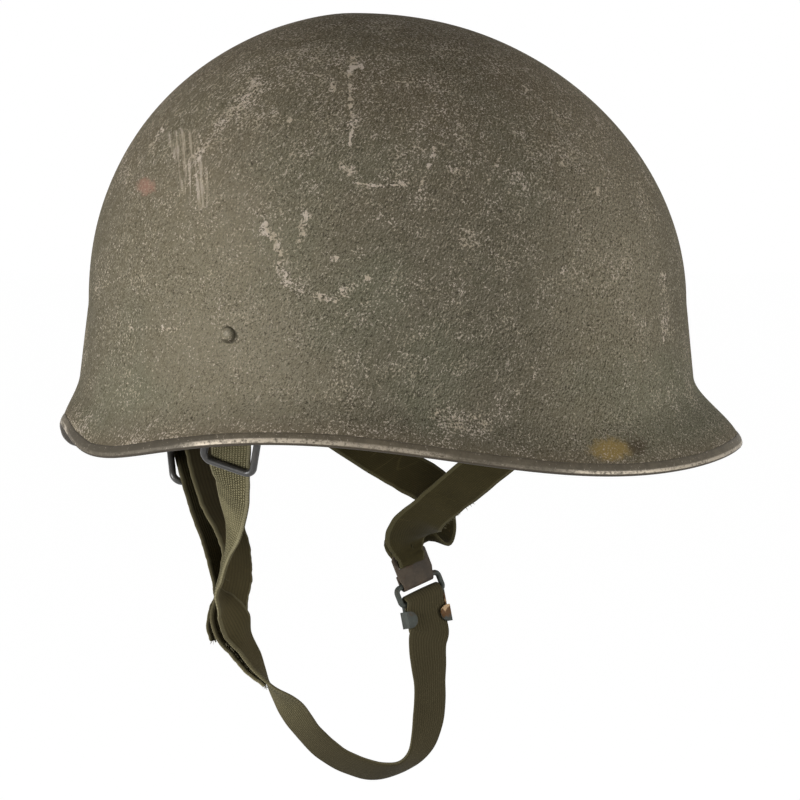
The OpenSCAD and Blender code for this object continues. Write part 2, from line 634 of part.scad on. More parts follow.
// The nape strap runs from the left anchor through the plate's slot to the right anchor.
bar_z = plate_top - 1.6;
mid_y = plate_y + plate_t/2;
bar_y = plate_t/2 + 0.25 + web_t/2;
function nape_end(t) = [for (z = [nape_rivet_z + 8, nape_rivet_z, hoop_lo + 3, hoop_lo - 4])
    concat(hoop_pt(t, 0.25 + web_t/2, z), hoop_u(t)*(t > 0 ? 1 : -1), web_w)];
function nape_slot(y, z, w) = concat(at_buckle(mid_y + y, z), buckle_u, w);
nape_rows = concat(nape_end(NAPE_T[0]),
    route([[64, -70, 29, 0.8, 0.35, -0.4, web_w], [50.5, -62, 12.5, 0.63, 0.18, -0.75, web_w],
        [34, -50, -4, 0.62, 0.16, -0.75, web_w], [22, -34, -16.5, 0.65, 0.25, -0.7, web_w], [14, -22, -25.5, 0.7, 0.25, -0.6, web_w],
        [10, -12, -32, 0.99, 0.1, 0.1, 24]]),
    [nape_slot(-bar_y - 1.5, bar_z + 4, 18), nape_slot(-bar_y, bar_z, 13.5),
        nape_slot(-bar_y, bar_z - 2, 12), nape_slot(0, bar_z - 3.2, 12),
        nape_slot(bar_y, bar_z - 2, 12), nape_slot(bar_y, bar_z, 12),
        nape_slot(bar_y + 1.5, bar_z + 4, 14)],
    route([[21, 9, -36, 0.92, 0.28, 0.27, web_w], [23.5, 18, -25, 0.86, 0.22, 0.47, web_w],
        [24, 29, -16.5, 0.68, 0.16, 0.72, web_w], [16, 38, -11, 0.53, 0.1, 0.84, web_w],
        [1.5, 50, -2, 0.51, 0, 0.86, web_w], [-31.5, 66, 20, 0.55, 0.6, 0.6, web_w],
        [-58, 73, 37, 0.8, 0.55, 0.3, web_w]]),
    [for (i = [3:-1:0]) nape_end(NAPE_T[1])[i]]);
module nape_strap() {
    color("olive")
    difference() {
        webbing(nape_rows, 4);
        for (t = NAPE_T) rivet_hole(t, nape_rivet_z, small_rivet_d + 2*fit);
    }
}
module nape_rivet(t) {
    color("silver") small_rivet(t, nape_rivet_z, -0.25 - web_t - 0.1, hoop_t);
}
module nape_rivet_left() { nape_rivet(NAPE_T[0]); }
module nape_rivet_right() { nape_rivet(NAPE_T[1]); }

place() shell();
place() rim_edging();
place() side_rivet_left();
place() side_rivet_right();
place() anchor_plate_left();
place() anchor_plate_right();
place() crown_stud();
place() crown_pad();
place() liner_cross();
place() crown_washer();
place() crown_nut();
place() liner_hoop();
place() arm_rivets();
place() sweatband();
place() crown_tongues();
place() sweatband_rivets();
place() tongue_lace();
place() chin_strap();
place() inner_strap_right();
place() ring_strap_right();
place() nape_strap();
place() nape_rivet_left();
place() nape_rivet_right();
place() hook_plate();
place() ring_left();
place() ring_right();
place() chin_buckle();
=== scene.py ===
# %% [markdown]
# A steel helmet from the middle of the last century, dressed for rendering.
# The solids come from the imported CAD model, which is loaded as a fixed frame in metres.
# This script gives the model what a photograph shows: gritty paint with chips and scratches,
# a worn crimped rim, two kinds of webbing, leather, felt and old metal.
# The visor points to -X, the wearer's left is -Y, and up is +Z.

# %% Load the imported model
import math

import bmesh
import bpy
import numpy as np
from mathutils import Matrix, Vector


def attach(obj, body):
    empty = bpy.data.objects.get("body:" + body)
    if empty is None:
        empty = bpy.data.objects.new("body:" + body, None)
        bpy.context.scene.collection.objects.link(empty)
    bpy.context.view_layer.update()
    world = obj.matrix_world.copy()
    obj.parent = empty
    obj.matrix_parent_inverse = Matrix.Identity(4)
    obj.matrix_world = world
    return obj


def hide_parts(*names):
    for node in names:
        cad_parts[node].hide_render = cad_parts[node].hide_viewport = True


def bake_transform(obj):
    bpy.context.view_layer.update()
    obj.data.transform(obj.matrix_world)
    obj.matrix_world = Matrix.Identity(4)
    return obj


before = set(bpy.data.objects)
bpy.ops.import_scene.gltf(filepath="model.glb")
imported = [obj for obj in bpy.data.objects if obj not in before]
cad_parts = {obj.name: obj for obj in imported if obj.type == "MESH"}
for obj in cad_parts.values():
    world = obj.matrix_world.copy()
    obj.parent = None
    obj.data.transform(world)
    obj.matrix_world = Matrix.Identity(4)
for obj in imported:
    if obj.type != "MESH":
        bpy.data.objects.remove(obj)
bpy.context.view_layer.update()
scene = bpy.context.scene

# %% [markdown]
# The photograph looks at the helmet's left side, turned eight degrees towards the visor and
# from a hair above. A long lens from two metres away gives nearly parallel lines of sight,
# which is why the far rim shows only a sliver. The camera is set from its three axes.

# %% Camera
MM = 0.001
LIFT = np.array([0, 0, -62.0])  # from heights over the rim's plane to the origin, in mm
YAW, DIP, DISTANCE = math.radians(8), math.radians(2), 2000.0
AIM_RIGHT, AIM_UP = 6.262, 21.807  # where the middle of the picture is, in mm from the origin
FOCAL_PX, FRAME_PX, SENSOR = 4810.0, 800.0, 36
look = np.array([math.sin(YAW) * math.cos(DIP), math.cos(YAW) * math.cos(DIP), -math.sin(DIP)])
right = np.array([math.cos(YAW), -math.sin(YAW), 0])
up = np.cross(right, look)
eye = (AIM_RIGHT * right + AIM_UP * up - DISTANCE * look + LIFT) * MM

camera = bpy.data.objects.new("camera", bpy.data.cameras.new("camera"))
axes = np.stack([right, up, -look], 1)
rows = [[*map(float, row), float(at)] for row, at in zip(axes, eye)]
camera.matrix_world = Matrix(rows + [[0, 0, 0, 1]])
camera.data.sensor_width = SENSOR
camera.data.lens = FOCAL_PX / FRAME_PX * SENSOR
scene.collection.objects.link(camera)
scene.camera = camera

# %% [markdown]
# Node trees are long to write by hand. Two small helpers keep them readable, and the first
# is a Socket that adds a Math node whenever two values are added or multiplied. It works in
# shader trees and in Geometry Nodes alike.

# %% Arithmetic on sockets
class Socket:
    """The output of a node. Arithmetic on it adds Math nodes to its tree."""

    def __init__(self, maker, out):
        self.maker, self.out = maker, out

    def math(self, operation, *others):
        return self.maker.node("ShaderNodeMath", {"operation": operation},
                               dict(enumerate((self, *others))))

    def __add__(self, other): return self.math("ADD", other)
    def __radd__(self, other): return self.math("ADD", other)
    def __sub__(self, other): return self.math("SUBTRACT", other)
    def __mul__(self, other): return self.math("MULTIPLY", other)
    def __rmul__(self, other): return self.math("MULTIPLY", other)
    def __truediv__(self, other): return self.math("DIVIDE", other)
    def __pow__(self, other): return self.math("POWER", other)
    def __neg__(self): return self.math("MULTIPLY", -1)
    def __gt__(self, other): return self.math("GREATER_THAN", other)
    def __lt__(self, other): return self.math("LESS_THAN", other)
    def __abs__(self): return self.math("ABSOLUTE")

    def __rsub__(self, other):
        return self.maker.node("ShaderNodeMath", {"operation": "SUBTRACT"}, {0: other, 1: self})

    def __rtruediv__(self, other):
        return self.maker.node("ShaderNodeMath", {"operation": "DIVIDE"}, {0: other, 1: self})

    def span(self, low, high):
        """0 where the value is low, 1 where it is high, smooth in between."""
        return self.maker.node("ShaderNodeMapRange", {"interpolation_type": "SMOOTHSTEP"},
                               {"Value": self, "From Min": low, "From Max": high})

# %% [markdown]
# The second helper is a Maker that adds any other node from its type, its settings and what
# goes into its sockets. Its other methods are short names for the nodes that come up often.

# %% A maker of nodes
class Maker:
    """Adds nodes to one tree."""

    def __init__(self, tree):
        self.tree = tree

    def node(self, kind, settings=None, inputs=None, out=0):
        n = self.tree.nodes.new(kind)
        for key, value in (settings or {}).items():
            setattr(n, key, value)
        for key, value in (inputs or {}).items():
            if isinstance(value, Socket):
                self.tree.links.new(value.out, n.inputs[key])
            elif value is not None:
                n.inputs[key].default_value = value
        return Socket(self, n.outputs[out])

    def split(self, vector):
        n = self.node("ShaderNodeSeparateXYZ", None, {0: vector})
        return [Socket(self, o) for o in n.out.node.outputs]

    def join(self, x, y, z):
        return self.node("ShaderNodeCombineXYZ", None, {0: x, 1: y, 2: z})

    def mix(self, share, a, b):
        """A colour that goes from a to b."""
        color = [v if isinstance(v, Socket) else (*v, 1) for v in (a, b)]
        return self.node("ShaderNodeMix", {"data_type": "RGBA"}, {0: share, 6: color[0], 7: color[1]}, 2)

    def geo(self, kind, inputs=None, settings=None):
        return self.node("GeometryNode" + kind, settings, inputs)

    def vector(self, operation, inputs, out=0):
        return self.node("ShaderNodeVectorMath", {"operation": operation}, inputs, out)

    def stretch(self, vector, scale):
        return self.vector("MULTIPLY", {0: vector, 1: scale})

    def shift(self, vector, other):
        return self.vector("ADD", {0: vector, 1: other})

    def turn(self, vector, angle):
        """The vector turned about the y axis."""
        return self.node("ShaderNodeVectorRotate", {"rotation_type": "Y_AXIS"},
                         {"Vector": vector, "Angle": angle})

    def noise(self, vector, scale, detail=2.0, roughness=0.5, out=0):
        return self.node("ShaderNodeTexNoise", None,
                         {"Vector": vector, "Scale": scale, "Detail": detail, "Roughness": roughness}, out)

    def blotches(self, spot, scale, detail, roughness, low, high, away=None):
        """Soft patches: a noise from one level to another, read elsewhere if away is given."""
        place = self.shift(spot, away) if away else spot
        return self.noise(place, scale, detail, roughness).span(low, high)

    def cells(self, vector, scale, out="Distance", feature="F1"):
        return self.node("ShaderNodeTexVoronoi", {"feature": feature},
                         {"Vector": vector, "Scale": scale}, out)

# %% [markdown]
# The helmet's own formulas below run on plain numbers, for the meshes that Python builds, and
# on sockets, for the shell that Geometry Nodes press. So the functions that they use look at
# what they are given, and either work it out or add a node.

# %% Functions for numbers and sockets
def clamp01(v):
    return v.maker.node("ShaderNodeClamp", None, {0: v}) if isinstance(v, Socket) else np.clip(v, 0, 1)
def sin(degrees):
    if isinstance(degrees, Socket):
        return (degrees * (math.pi / 180)).math("SINE")
    return np.sin(np.radians(degrees))
def cos(degrees):
    if isinstance(degrees, Socket):
        return (degrees * (math.pi / 180)).math("COSINE")
    return np.cos(np.radians(degrees))
def exp(v):
    return v.math("EXPONENT") if isinstance(v, Socket) else np.exp(v)
def pick(first, a, b):
    """a where first is 1 or true, and b elsewhere."""
    return b + first * (a - b)

# %% [markdown]
# Every finish below is a Principled surface with a colour that changes from place to place
# and one or more bumps on top of each other. A bump's depth is given in millimetres, so that
# the grain of the paint and the ribs of the cloth have the size they have on the real thing.

# %% Helpers for finishes
def begin(material):
    """Empties a material's tree. Gives its Maker and the place on the object."""
    material.use_nodes = True
    material.node_tree.nodes.clear()
    m = Maker(material.node_tree)
    return m, m.node("ShaderNodeTexCoord", None, None, "Object")


def finish(m, color, roughness, bumps=(), metallic=0.0, fixed=None):
    """A Principled surface. Each bump is a height from 0 to 1 and its depth in mm, coarse first."""
    normal = None
    for height, depth in bumps:
        normal = m.node("ShaderNodeBump", None, {"Strength": 1.0, "Distance": depth * MM,
                                                 "Height": height, "Normal": normal})
    shader = m.node("ShaderNodeBsdfPrincipled", None, {
        "Base Color": color if isinstance(color, Socket) else (*color, 1), "Roughness": roughness,
        "Metallic": metallic, "Normal": normal, **(fixed or {})})
    m.tree.links.new(shader.out, m.tree.nodes.new("ShaderNodeOutputMaterial").inputs[0])


def on_cloth(m):
    """The length along a strap and the distance from its middle, both in mm."""
    u, v, _ = m.split(m.node("ShaderNodeTexCoord", None, None, "UV"))
    return u * 1000, v * 1000

# %% [markdown]
# The shell is one pressing: a dome over a skirt that flares into a short visor and a longer
# neck guard. Its shape follows a rule, the same one that the CAD solid is made from, so the
# rule is written once here. Angle t goes round from the visor, and every length is in mm.

# %% The shell's rule
FRONT_LEN, REAR_LEN, HALF_W = 122.9, 125.8, 105.0
DOME_H, BELT_Z, WALL, CROWN_SHIFT = 119.6, 62.5, 1.2, 13.2
VISOR_LIFT, VISOR_SPREAD = 17.9, 17.8
# Three numbers are for the front, the rear and the sides.
FLARE, FLARE_HEIGHT, TAPER = (5.1, 17.2, 8.0), (20.5, 27.6, 20), (0.123, 0.097, 0.06)
DOME_FALL, DOME_ROUND = (2.12, 1.96, 2.15), (1.72, 2.24, 2.15)
RIM_WAVES = (1.3, 1.1, -2.1, -6, 0.5)


def smooth(v):
    c = clamp01(v)
    return c * c * (3 - 2 * c)
def round_mix(t, front, rear, side):
    c = cos(t)
    return c * c * pick(c > 0, front, rear) + (1 - c * c) * side
def rim_z(t):
    off = t - 360 * (t > 180)
    level, one, two, three, four = RIM_WAVES
    return (level + one * cos(t) + two * cos(2 * t) + three * cos(3 * t) + four * cos(4 * t)
            + VISOR_LIFT * exp(-(off / VISOR_SPREAD) * (off / VISOR_SPREAD)))
def half_l(t):
    return pick(cos(t) > 0, FRONT_LEN, REAR_LEN)
def skirt_taper(t):
    return round_mix(t, *TAPER)
def growth(t, z):
    rise = (z - rim_z(t)) / round_mix(t, *FLARE_HEIGHT)
    return skirt_taper(t) * (BELT_Z - z) + round_mix(t, *FLARE) * (1 - smooth(rise))
def skirt(t, z, inset):
    g = growth(t, z) - inset
    return -(half_l(t) + g) * cos(t), -(HALF_W + g) * sin(t), z
def dome(t, a, inset):
    q = clamp01(cos(a))
    r = (1 - q ** round_mix(t, *DOME_FALL)) ** (1 / round_mix(t, *DOME_ROUND))
    return (-(half_l(t) - inset) * cos(t) * r - CROWN_SHIFT * q * q,
            -(HALF_W - inset) * sin(t) * r, BELT_Z + (DOME_H - inset) * q)

# %% [markdown]
# A Geometry Nodes tree needs an interface with named inputs, and its result has to become a
# plain mesh before anything rides on it. These helpers do both, and one measures a mesh: a
# negative volume would mean that its faces look inwards.

# %% Helpers for Geometry Nodes
def new_tree(name, inputs):
    """A Geometry Nodes tree with named inputs. Gives its Maker and its input sockets by name."""
    tree = bpy.data.node_groups.new(name, "GeometryNodeTree")
    tree.interface.new_socket("Geometry", in_out="INPUT", socket_type="NodeSocketGeometry")
    for label, (kind, value) in inputs.items():
        item = tree.interface.new_socket(label, in_out="INPUT", socket_type="NodeSocket" + kind)
        if value is not None:
            item.default_value = value
    tree.interface.new_socket("Geometry", in_out="OUTPUT", socket_type="NodeSocketGeometry")
    maker = Maker(tree)
    group = tree.nodes.new("NodeGroupInput")
    return maker, {o.name: Socket(maker, o) for o in group.outputs if o.name}


def end_tree(maker, geometry):
    maker.tree.links.new(geometry.out, maker.tree.nodes.new("NodeGroupOutput").inputs[0])
    return maker.tree


def grown(name, tree, values, source=None):
    """The plain mesh that a tree makes from a source mesh or curve, as an object at the origin."""
    holder = bpy.data.objects.new(name + "_holder", source or bpy.data.meshes.new(name + "_holder"))
    scene.collection.objects.link(holder)
    modifier = holder.modifiers.new("nodes", "NODES")
    modifier.node_group = tree
    for item in tree.interface.items_tree:
        if item.in_out == "INPUT" and item.name in values:
            modifier[item.identifier] = values[item.name]
    mesh = bpy.data.meshes.new_from_object(holder.evaluated_get(bpy.context.evaluated_depsgraph_get()))
    mesh.name = name
    bpy.data.objects.remove(holder)
    return place(name, mesh)


def place(name, mesh):
    obj = bpy.data.objects.new(name, mesh)
    scene.collection.objects.link(obj)
    return obj


def volume(mesh):
    """Signed volume, above zero where the faces point outwards, and the number of open edges."""
    b = bmesh.new()
    b.from_mesh(mesh)
    v = b.calc_volume(signed=True)
    open_edges = sum(not e.is_manifold for e in b.edges)
    b.free()
    return v, open_edges


def fitted(obj, slot, *nodes):
    """The object stands for its CAD nodes and rides on the helmet. The slot is not used."""
    print(obj.name, "volume and open edges", volume(obj.data), "vertices", len(obj.data.vertices))
    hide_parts(*nodes)
    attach(obj, "root")

# %% [markdown]
# Blender can press this shell in Geometry Nodes. A flat grid is the sheet: one way it counts
# the angle round the head, the other way it runs from the crown down the outside to the rim
# and back up the inside, so that one closed skin has both faces and the edge between them.
# Set Position then bends the sheet by the rule. A weak noise pushes it in and out by a third
# of a millimetre, because no old helmet is as true as its drawing, and fades at the rim,
# where the crimped strip has to fit.

# %% Press the shell
DOME_SHARE, CROWDING = 0.55, 1.35  # the dome's share of the rows, and how the rest crowd to the rim
ABOVE_DOME, WELD, DENT_SCALE = 60, 0.00002, 17.0


def shell_tree():
    maker, given = new_tree("press_shell", {
        "Around": ("Int", 256), "Up": ("Int", 120), "Wall": ("Float", WALL),
        "Unevenness": ("Float", 0.3), "Paint": ("Material", None)})
    rows = given["Up"] * 2
    sheet = maker.geo("MeshGrid", {"Vertices X": given["Around"] + 1, "Vertices Y": rows,
                                   "Size X": 1.0, "Size Y": 1.0})
    x, y, _ = maker.split(maker.geo("InputPosition"))
    t = (x + 0.5) * 360
    row = (y + 0.5) * (rows - 1)
    back = row > given["Up"] - 0.5
    k = pick(back, rows - 1 - row, row) / (given["Up"] - 1)
    inset = back * given["Wall"]
    down = clamp01((k - DOME_SHARE) / (1 - DOME_SHARE))
    low = skirt(t, rim_z(t) + (BELT_Z - rim_z(t)) * (1 - down) ** CROWDING, inset)
    high = dome(t, clamp01(k / DOME_SHARE) * 90, inset)
    where = [pick(k > DOME_SHARE, a, b) * MM for a, b in zip(low, high)]
    where[2] = where[2] + float(LIFT[2]) * MM
    # These are stored while the sheet is still flat, since the rows are read from its position.
    over_rim = low[2] - rim_z(t) + (k < DOME_SHARE) * ABOVE_DOME
    for label, value in (("above_rim", over_rim), ("inside", back)):
        sheet = maker.geo("StoreNamedAttribute", {"Geometry": sheet, "Name": label, "Value": value},
                          {"data_type": "FLOAT", "domain": "POINT"})
    bent = maker.geo("SetPosition", {"Geometry": sheet, "Position": maker.join(*where)})
    closed = maker.geo("MergeByDistance", {"Geometry": bent, "Distance": WELD})
    dent = (maker.noise(maker.geo("InputPosition"), DENT_SCALE, 1.0) - 0.5) * 2
    fade = maker.split(maker.geo("InputPosition"))[2].span(-0.045, -0.02)
    outward = maker.vector("NORMALIZE", {0: maker.stretch(maker.geo("InputPosition"), (1.0, 1.0, 0.6))})
    amount = dent * fade * given["Unevenness"] * MM
    worn = maker.geo("SetPosition", {
        "Geometry": closed, "Offset": maker.vector("SCALE", {0: outward, "Scale": amount})})
    even = maker.geo("SetShadeSmooth", {"Geometry": worn})
    flipped = maker.geo("FlipFaces", {"Mesh": even})
    return end_tree(maker, maker.geo("SetMaterial", {"Geometry": flipped, "Material": given["Paint"]}))


helmet_paint = bpy.data.materials.new("helmet_paint")
helmet_shell = grown("helmet_shell", shell_tree(), {"Paint": helmet_paint})
fitted(helmet_shell, "shell_paint", "shell")

# %% [markdown]
# The rim is covered by a thin strip crimped over the raw edge. A swept section could do it,
# but the section has to lean with the skirt, so the strip is built row by row from the same
# rule, with a rounded fold below and a lip that is a little uneven, as hand tools leave it.

# %% Rim edging
def skin(name, rings, closed_loop, materials=(), face_slot=None, uv=None):
    """A mesh over rings of equally many points, in mm over the rim's plane."""
    rings = np.asarray(rings, float)
    m, n = rings.shape[:2]
    points = (rings.reshape(-1, 3) + LIFT) * MM
    faces, slots, corner_uv = [], [], []
    for i in range(m if closed_loop else m - 1):
        a, b = i * n, ((i + 1) % m) * n
        for j in range(n):
            k = (j + 1) % n
            faces.append((a + j, b + j, b + k, a + k))
            slots.append(face_slot[j] if face_slot is not None else 0)
            if uv is not None:
                corner_uv += [uv(i, j), uv(i + 1, j), uv(i + 1, j + 1), uv(i, j + 1)]
    if not closed_loop:
        for start, order in ((0, 1), ((m - 1) * n, -1)):
            faces.append(tuple(range(start, start + n))[::order])
            slots.append(0)
            if uv is not None:
                corner_uv += [(0, 0)] * n
    mesh = bpy.data.meshes.new(name)
    mesh.from_pydata(points.tolist(), [], faces)
    for material in materials:
        mesh.materials.append(material)
    mesh.polygons.foreach_set("material_index", slots)
    mesh.polygons.foreach_set("use_smooth", [True] * len(faces))
    if uv is not None:
        layer = mesh.uv_layers.new(name="UVMap")
        layer.data.foreach_set("uv", np.asarray(corner_uv, float).ravel())
    if volume(mesh)[0] < 0:
        mesh.flip_normals()
    mesh.update()
    return place(name, mesh)


def wavy(count, waves, seed):
    """A smooth closed wobble of about one, over count steps."""
    pick_rng = np.random.default_rng(seed)
    a = np.arange(count) / count * 2 * np.pi
    total = 0
    for k in waves:
        size = pick_rng.normal() / math.sqrt(k)
        total = total + size * np.sin(k * a + pick_rng.uniform(0, 6.3))
    return total / 2


EDGE_SECTION = [  # height over the rim and depth into the wall
    (4.2, -0.06), (4.1, -0.26), (3.3, -0.5), (2, -0.74), (0.3, -0.82), (-0.35, -0.62), (-0.75, -0.1),
    (-0.86, 0.6), (-0.75, 1.3), (-0.35, 1.82), (0.3, 2.02), (2, 2.04), (3.7, 2.0), (4.15, 1.88),
    (4.2, 1.5), (3.9, 1.22), (0, 1.22), (0, -0.02), (3.9, -0.02)]
ROUND = 480
edge_t = np.arange(ROUND) * 360 / ROUND
lip = 0.16 * wavy(ROUND, range(9, 60), 3)
press = 0.07 * wavy(ROUND, range(20, 120), 4)
edge_rings = []
for i, t in enumerate(edge_t):
    edge_rings.append([skirt(t, rim_z(t) + h + lip[i] * (h > 3), e - press[i] * (e < 0 and h > -0.4))
                       for h, e in EDGE_SECTION])
edging_paint = bpy.data.materials.new("edging_paint")
crimped_rim = skin("crimped_rim", edge_rings, True, [edging_paint],
                   uv=lambda i, j: (i / ROUND, j / len(EDGE_SECTION)))
fitted(crimped_rim, "edging_paint", "rim_edging")

# %% [markdown]
# The harness is flat webbing, 17.5 mm wide. Each strap follows a row of points with the
# direction across it, as in the CAD model, and a smooth curve runs through them. Cloth
# simulation would tear such narrow bands, so the strap is built directly: a section with
# rounded selvedges, one coarse face and one smooth face, a slight cup, gathered folds where
# the strap is squeezed to less than its width, and edges that wander a little.

# %% Frames of the harness
WEB_W, WEB_T = 17.5, 1.6
RIVET_T, RIVET_Z = 53.0, 51.0
BUCKLE_WIRE, BUCKLE_L, PLATE_T = 2.3, 7.6, 1.1
HOOP_A, HOOP_B, HOOP_X, HOOP_T, HOOP_H, HEAD_H = 113.0, 92.0, 1.0, 1.0, 26.0, 62.0
PLY = WEB_T + 0.15


def unit(v):
    v = np.asarray(v, float)
    return v / np.linalg.norm(v)


side_point = np.array(skirt(RIVET_T, RIVET_Z, 0))
side_n = unit([cos(RIVET_T) * HALF_W, sin(RIVET_T) * FRONT_LEN, 0])
side_lean = math.degrees(math.atan(skirt_taper(RIVET_T)))
web_y = WALL + 0.75 + WEB_T / 2


def side_at(s, y, z):
    c, d = cos(side_lean), sin(side_lean)
    outwards, along_wall = [side_n[0] * c, side_n[1] * c, -d], [side_n[0] * d, side_n[1] * d, c]
    p = side_point + y * np.array(outwards) + z * np.array(along_wall)
    return [p[0], -s * p[1], p[2]]
def side_row(s, y, z):
    return side_at(s, y, z) + [side_n[1], s * side_n[0], 0, WEB_W]
def full_width(rows):
    return [[*row, WEB_W] for row in rows]
def run_rows(run, shares):
    a, b, u = map(np.array, run)
    return full_width([*(a + k * (b - a)), *u] for k in shares)


left_run = (side_at(-1, web_y + 3, -22), [-69.6, -46.6, -5.6], [0.86, -0.48, -0.2])
right_run = ([-77.5, 69, 10], [-71, 35, -23], [0.84, 0.52, 0.12])

buckle_o = np.array([13.2, 0, -53.5])
buckle_u = unit([0.87, 0.36, 0.34])
lean = np.array([-0.38, 0, 0.92])
buckle_v = unit(lean - lean.dot(buckle_u) * buckle_u)
buckle_w = np.cross(buckle_v, buckle_u)
ear_u = unit(buckle_u - 0.22 * buckle_v)
ear_v = np.cross(ear_u, buckle_w)


def at_buckle(y, z):
    return buckle_o + y * buckle_w + z * buckle_v
ear_o = at_buckle(0, -BUCKLE_L)
def at_ear(y, z):
    return ear_o + y * buckle_w + z * ear_v
def hoop_pt(t, out, z):
    return [HOOP_X - (HOOP_A + out) * cos(t), -(HOOP_B + out) * sin(t), z]
def hoop_n(t):
    return unit([-cos(t) * HOOP_B, -sin(t) * HOOP_A, 0])
def hoop_u(t):
    n = -hoop_n(t)
    return np.array([n[1], -n[0], 0])

# %% [markdown]
# The chin strap hangs from the left side, twists twice, makes the loop under the chin and
# ends folded through the buckle. Each row is a place in mm and the direction across the
# strap there, read off the photograph, and the fold is worked out from the buckle.

# %% Route of the chin strap
CHIN_TAIL = [
    [-68, -40, -13, 0.58, -0.81, -0.07], [-67, -29.5, -22, 0.3, -0.94, 0.1],
    [-66.5, -20, -31.5, 0.12, -0.98, 0.13], [-67.5, -14, -41, 0, -1, 0.1],
    [-69.5, -10.5, -50, -0.05, -1, 0], [-71, -8.5, -57, -0.2, -0.98, 0],
    [-67.5, -7, -63, -0.62, -0.78, 0], [-63, -4, -70, -0.75, -0.62, -0.1],
    [-59.2, -1, -78, -0.5, -0.85, -0.15], [-54, 0, -87, -0.32, -0.92, -0.2],
    [-48.2, 0, -96.3, 0, -1, 0], [-39.8, 0, -106, 0.46, -0.85, 0.27],
    [-31.5, 0, -117, 0.43, -0.85, 0.31], [-20.6, 0, -126.7, 0.27, -0.84, 0.46],
    [-6, 0, -132.6, 0.08, -0.88, 0.48], [6, 0, -131.6, -0.2, -0.92, 0.3],
    [14.3, 0, -124.5, -0.6, -0.78, 0.1], [18.3, 0, -112.3, -0.82, -0.57, 0],
    [18.7, -1.2, -95.1, -0.84, -0.54, 0], [17.7, -2.5, -80, -0.94, -0.32, -0.1]]
ply_y = WEB_T / 2 + 0.1
turn_r = BUCKLE_WIRE / 2 + 0.3 + WEB_T / 2


def ear_rows(y, heights):
    return full_width([*at_ear(y, z), *-ear_u] for z in heights)


over_wire = full_width([*at_buckle(turn_r * sin(a), (turn_r + 0.8) * cos(a) - BUCKLE_L), *-buckle_u]
                       for a in (-90, -45, 0, 45, 90))
buckle_rows = ear_rows(-ply_y, [-14.5, -9, -5.2]) + over_wire + ear_rows(ply_y, [-5.2, -9, -14.5])
chin_rows = ([side_row(-1, web_y, z) for z in (9, 0, -7, -13)] + run_rows(left_run, [0, 0.5, 0.85, 1])
             + full_width(CHIN_TAIL) + buckle_rows)


def along(rows, s):
    """The Catmull-Rom curve through rows, at s rows from the first."""
    rows = np.asarray(rows, float)
    i = min(int(s), len(rows) - 2)
    a, b, c, d = (rows[min(max(k, 0), len(rows) - 1)] for k in range(i - 1, i + 3))
    u = s - i
    return 0.5 * (2 * b + (c - a) * u + (2 * a - 5 * b + 4 * c - d) * u * u
                  + (3 * b - a - 3 * c + d) * u ** 3)

# %% [markdown]
# Two straps come from the right side and end behind the chin strap, where they are sewn
# together. Their last rows are taken from the chin strap's own route, a few plies behind it,
# so that they lie against it whatever its shape.

# %% Routes of the right side's straps
def behind(n0, n1, a, b, step, shift):
    """Rows on the chin strap's back, n0 plies behind it at row a and n1 plies at row b."""
    found = []
    for i in np.arange(a, b + 1e-6, step):
        n = n0 + (n1 - n0) * (i - a) / (b - a)
        p = along(chin_rows, i)
        d = unit((along(chin_rows, i + 0.1) - along(chin_rows, i - 0.1))[:3])
        u = unit(p[3:6] - p[3:6].dot(d) * d)
        found.append([*(p[:3] - np.cross(u, d) * n * PLY + u * shift), *-u, WEB_W])
    return found


JOIN = 15  # the row of the chin strap where the right side's straps are sewn behind it
inner_rows = ([side_row(1, web_y + PLY + 0.5, z) for z in (9, 0, -7)]
              + [side_row(1, web_y + PLY + 1.8, -13)] + full_width([
                  [-72.4, 73, 26, 0.88, 0.45, 0.1], [-71.6, 61, 13, 0.9, 0.4, 0.1],
                  [-70.5, 49, -1, 0.9, 0.4, 0.1], [-67.5, 28, -20.5, 0.82, 0.56, 0.12],
                  [-63.5, 17.5, -31.5, 0.7, 0.69, 0.16], [-61, 11, -42, 0.69, 0.72, 0.11],
                  [-61.5, 7.5, -52, 0.82, 0.57, 0], [-63.5, 5.5, -61, 0.8, 0.58, 0.1]])
              + behind(2.9, 1.05, JOIN + 0.2, JOIN + 2.9, 0.9, -0.2))
outer_rows = ([side_row(1, web_y, z) for z in (9, 0, -7)] + [side_row(1, web_y + 0.8, -13)]
              + run_rows(right_run, [-0.12, 0.15, 0.5, 1]) + full_width([
                  [-67.5, 20, -37.5, 0.76, 0.62, 0.17], [-66, 14.5, -45.5, 0.78, 0.61, 0.14],
                  [-64, 11, -57, 0.78, 0.62, 0.1], [-64.3, 9.5, -64, 0.75, 0.62, 0.25]])
              + behind(6.2, 6.4, JOIN + 0.2, JOIN + 0.7, 0.5, -2))

# %% [markdown]
# The rear webbing is riveted to the liner's hoop at both sides of the nape, comes forward
# and turns through the slot of the hook plate, where it is squeezed and gathers in folds.

# %% Route of the rear webbing
NAPE_T = (128, -54)
NAPE_RIVET_Z = HEAD_H - 2
hoop_lo = HEAD_H - HOOP_H / 2
mid_y = -(BUCKLE_WIRE / 2 + 0.08) - PLATE_T / 2
bar_z = 13.8 - 1.6
bar_y = PLATE_T / 2 + 0.25 + WEB_T / 2


def nape_end(t):
    across = hoop_u(t) * (1 if t > 0 else -1)
    return full_width([*hoop_pt(t, 0.25 + WEB_T / 2, z), *across]
                      for z in (NAPE_RIVET_Z + 8, NAPE_RIVET_Z, hoop_lo + 3, hoop_lo - 4))


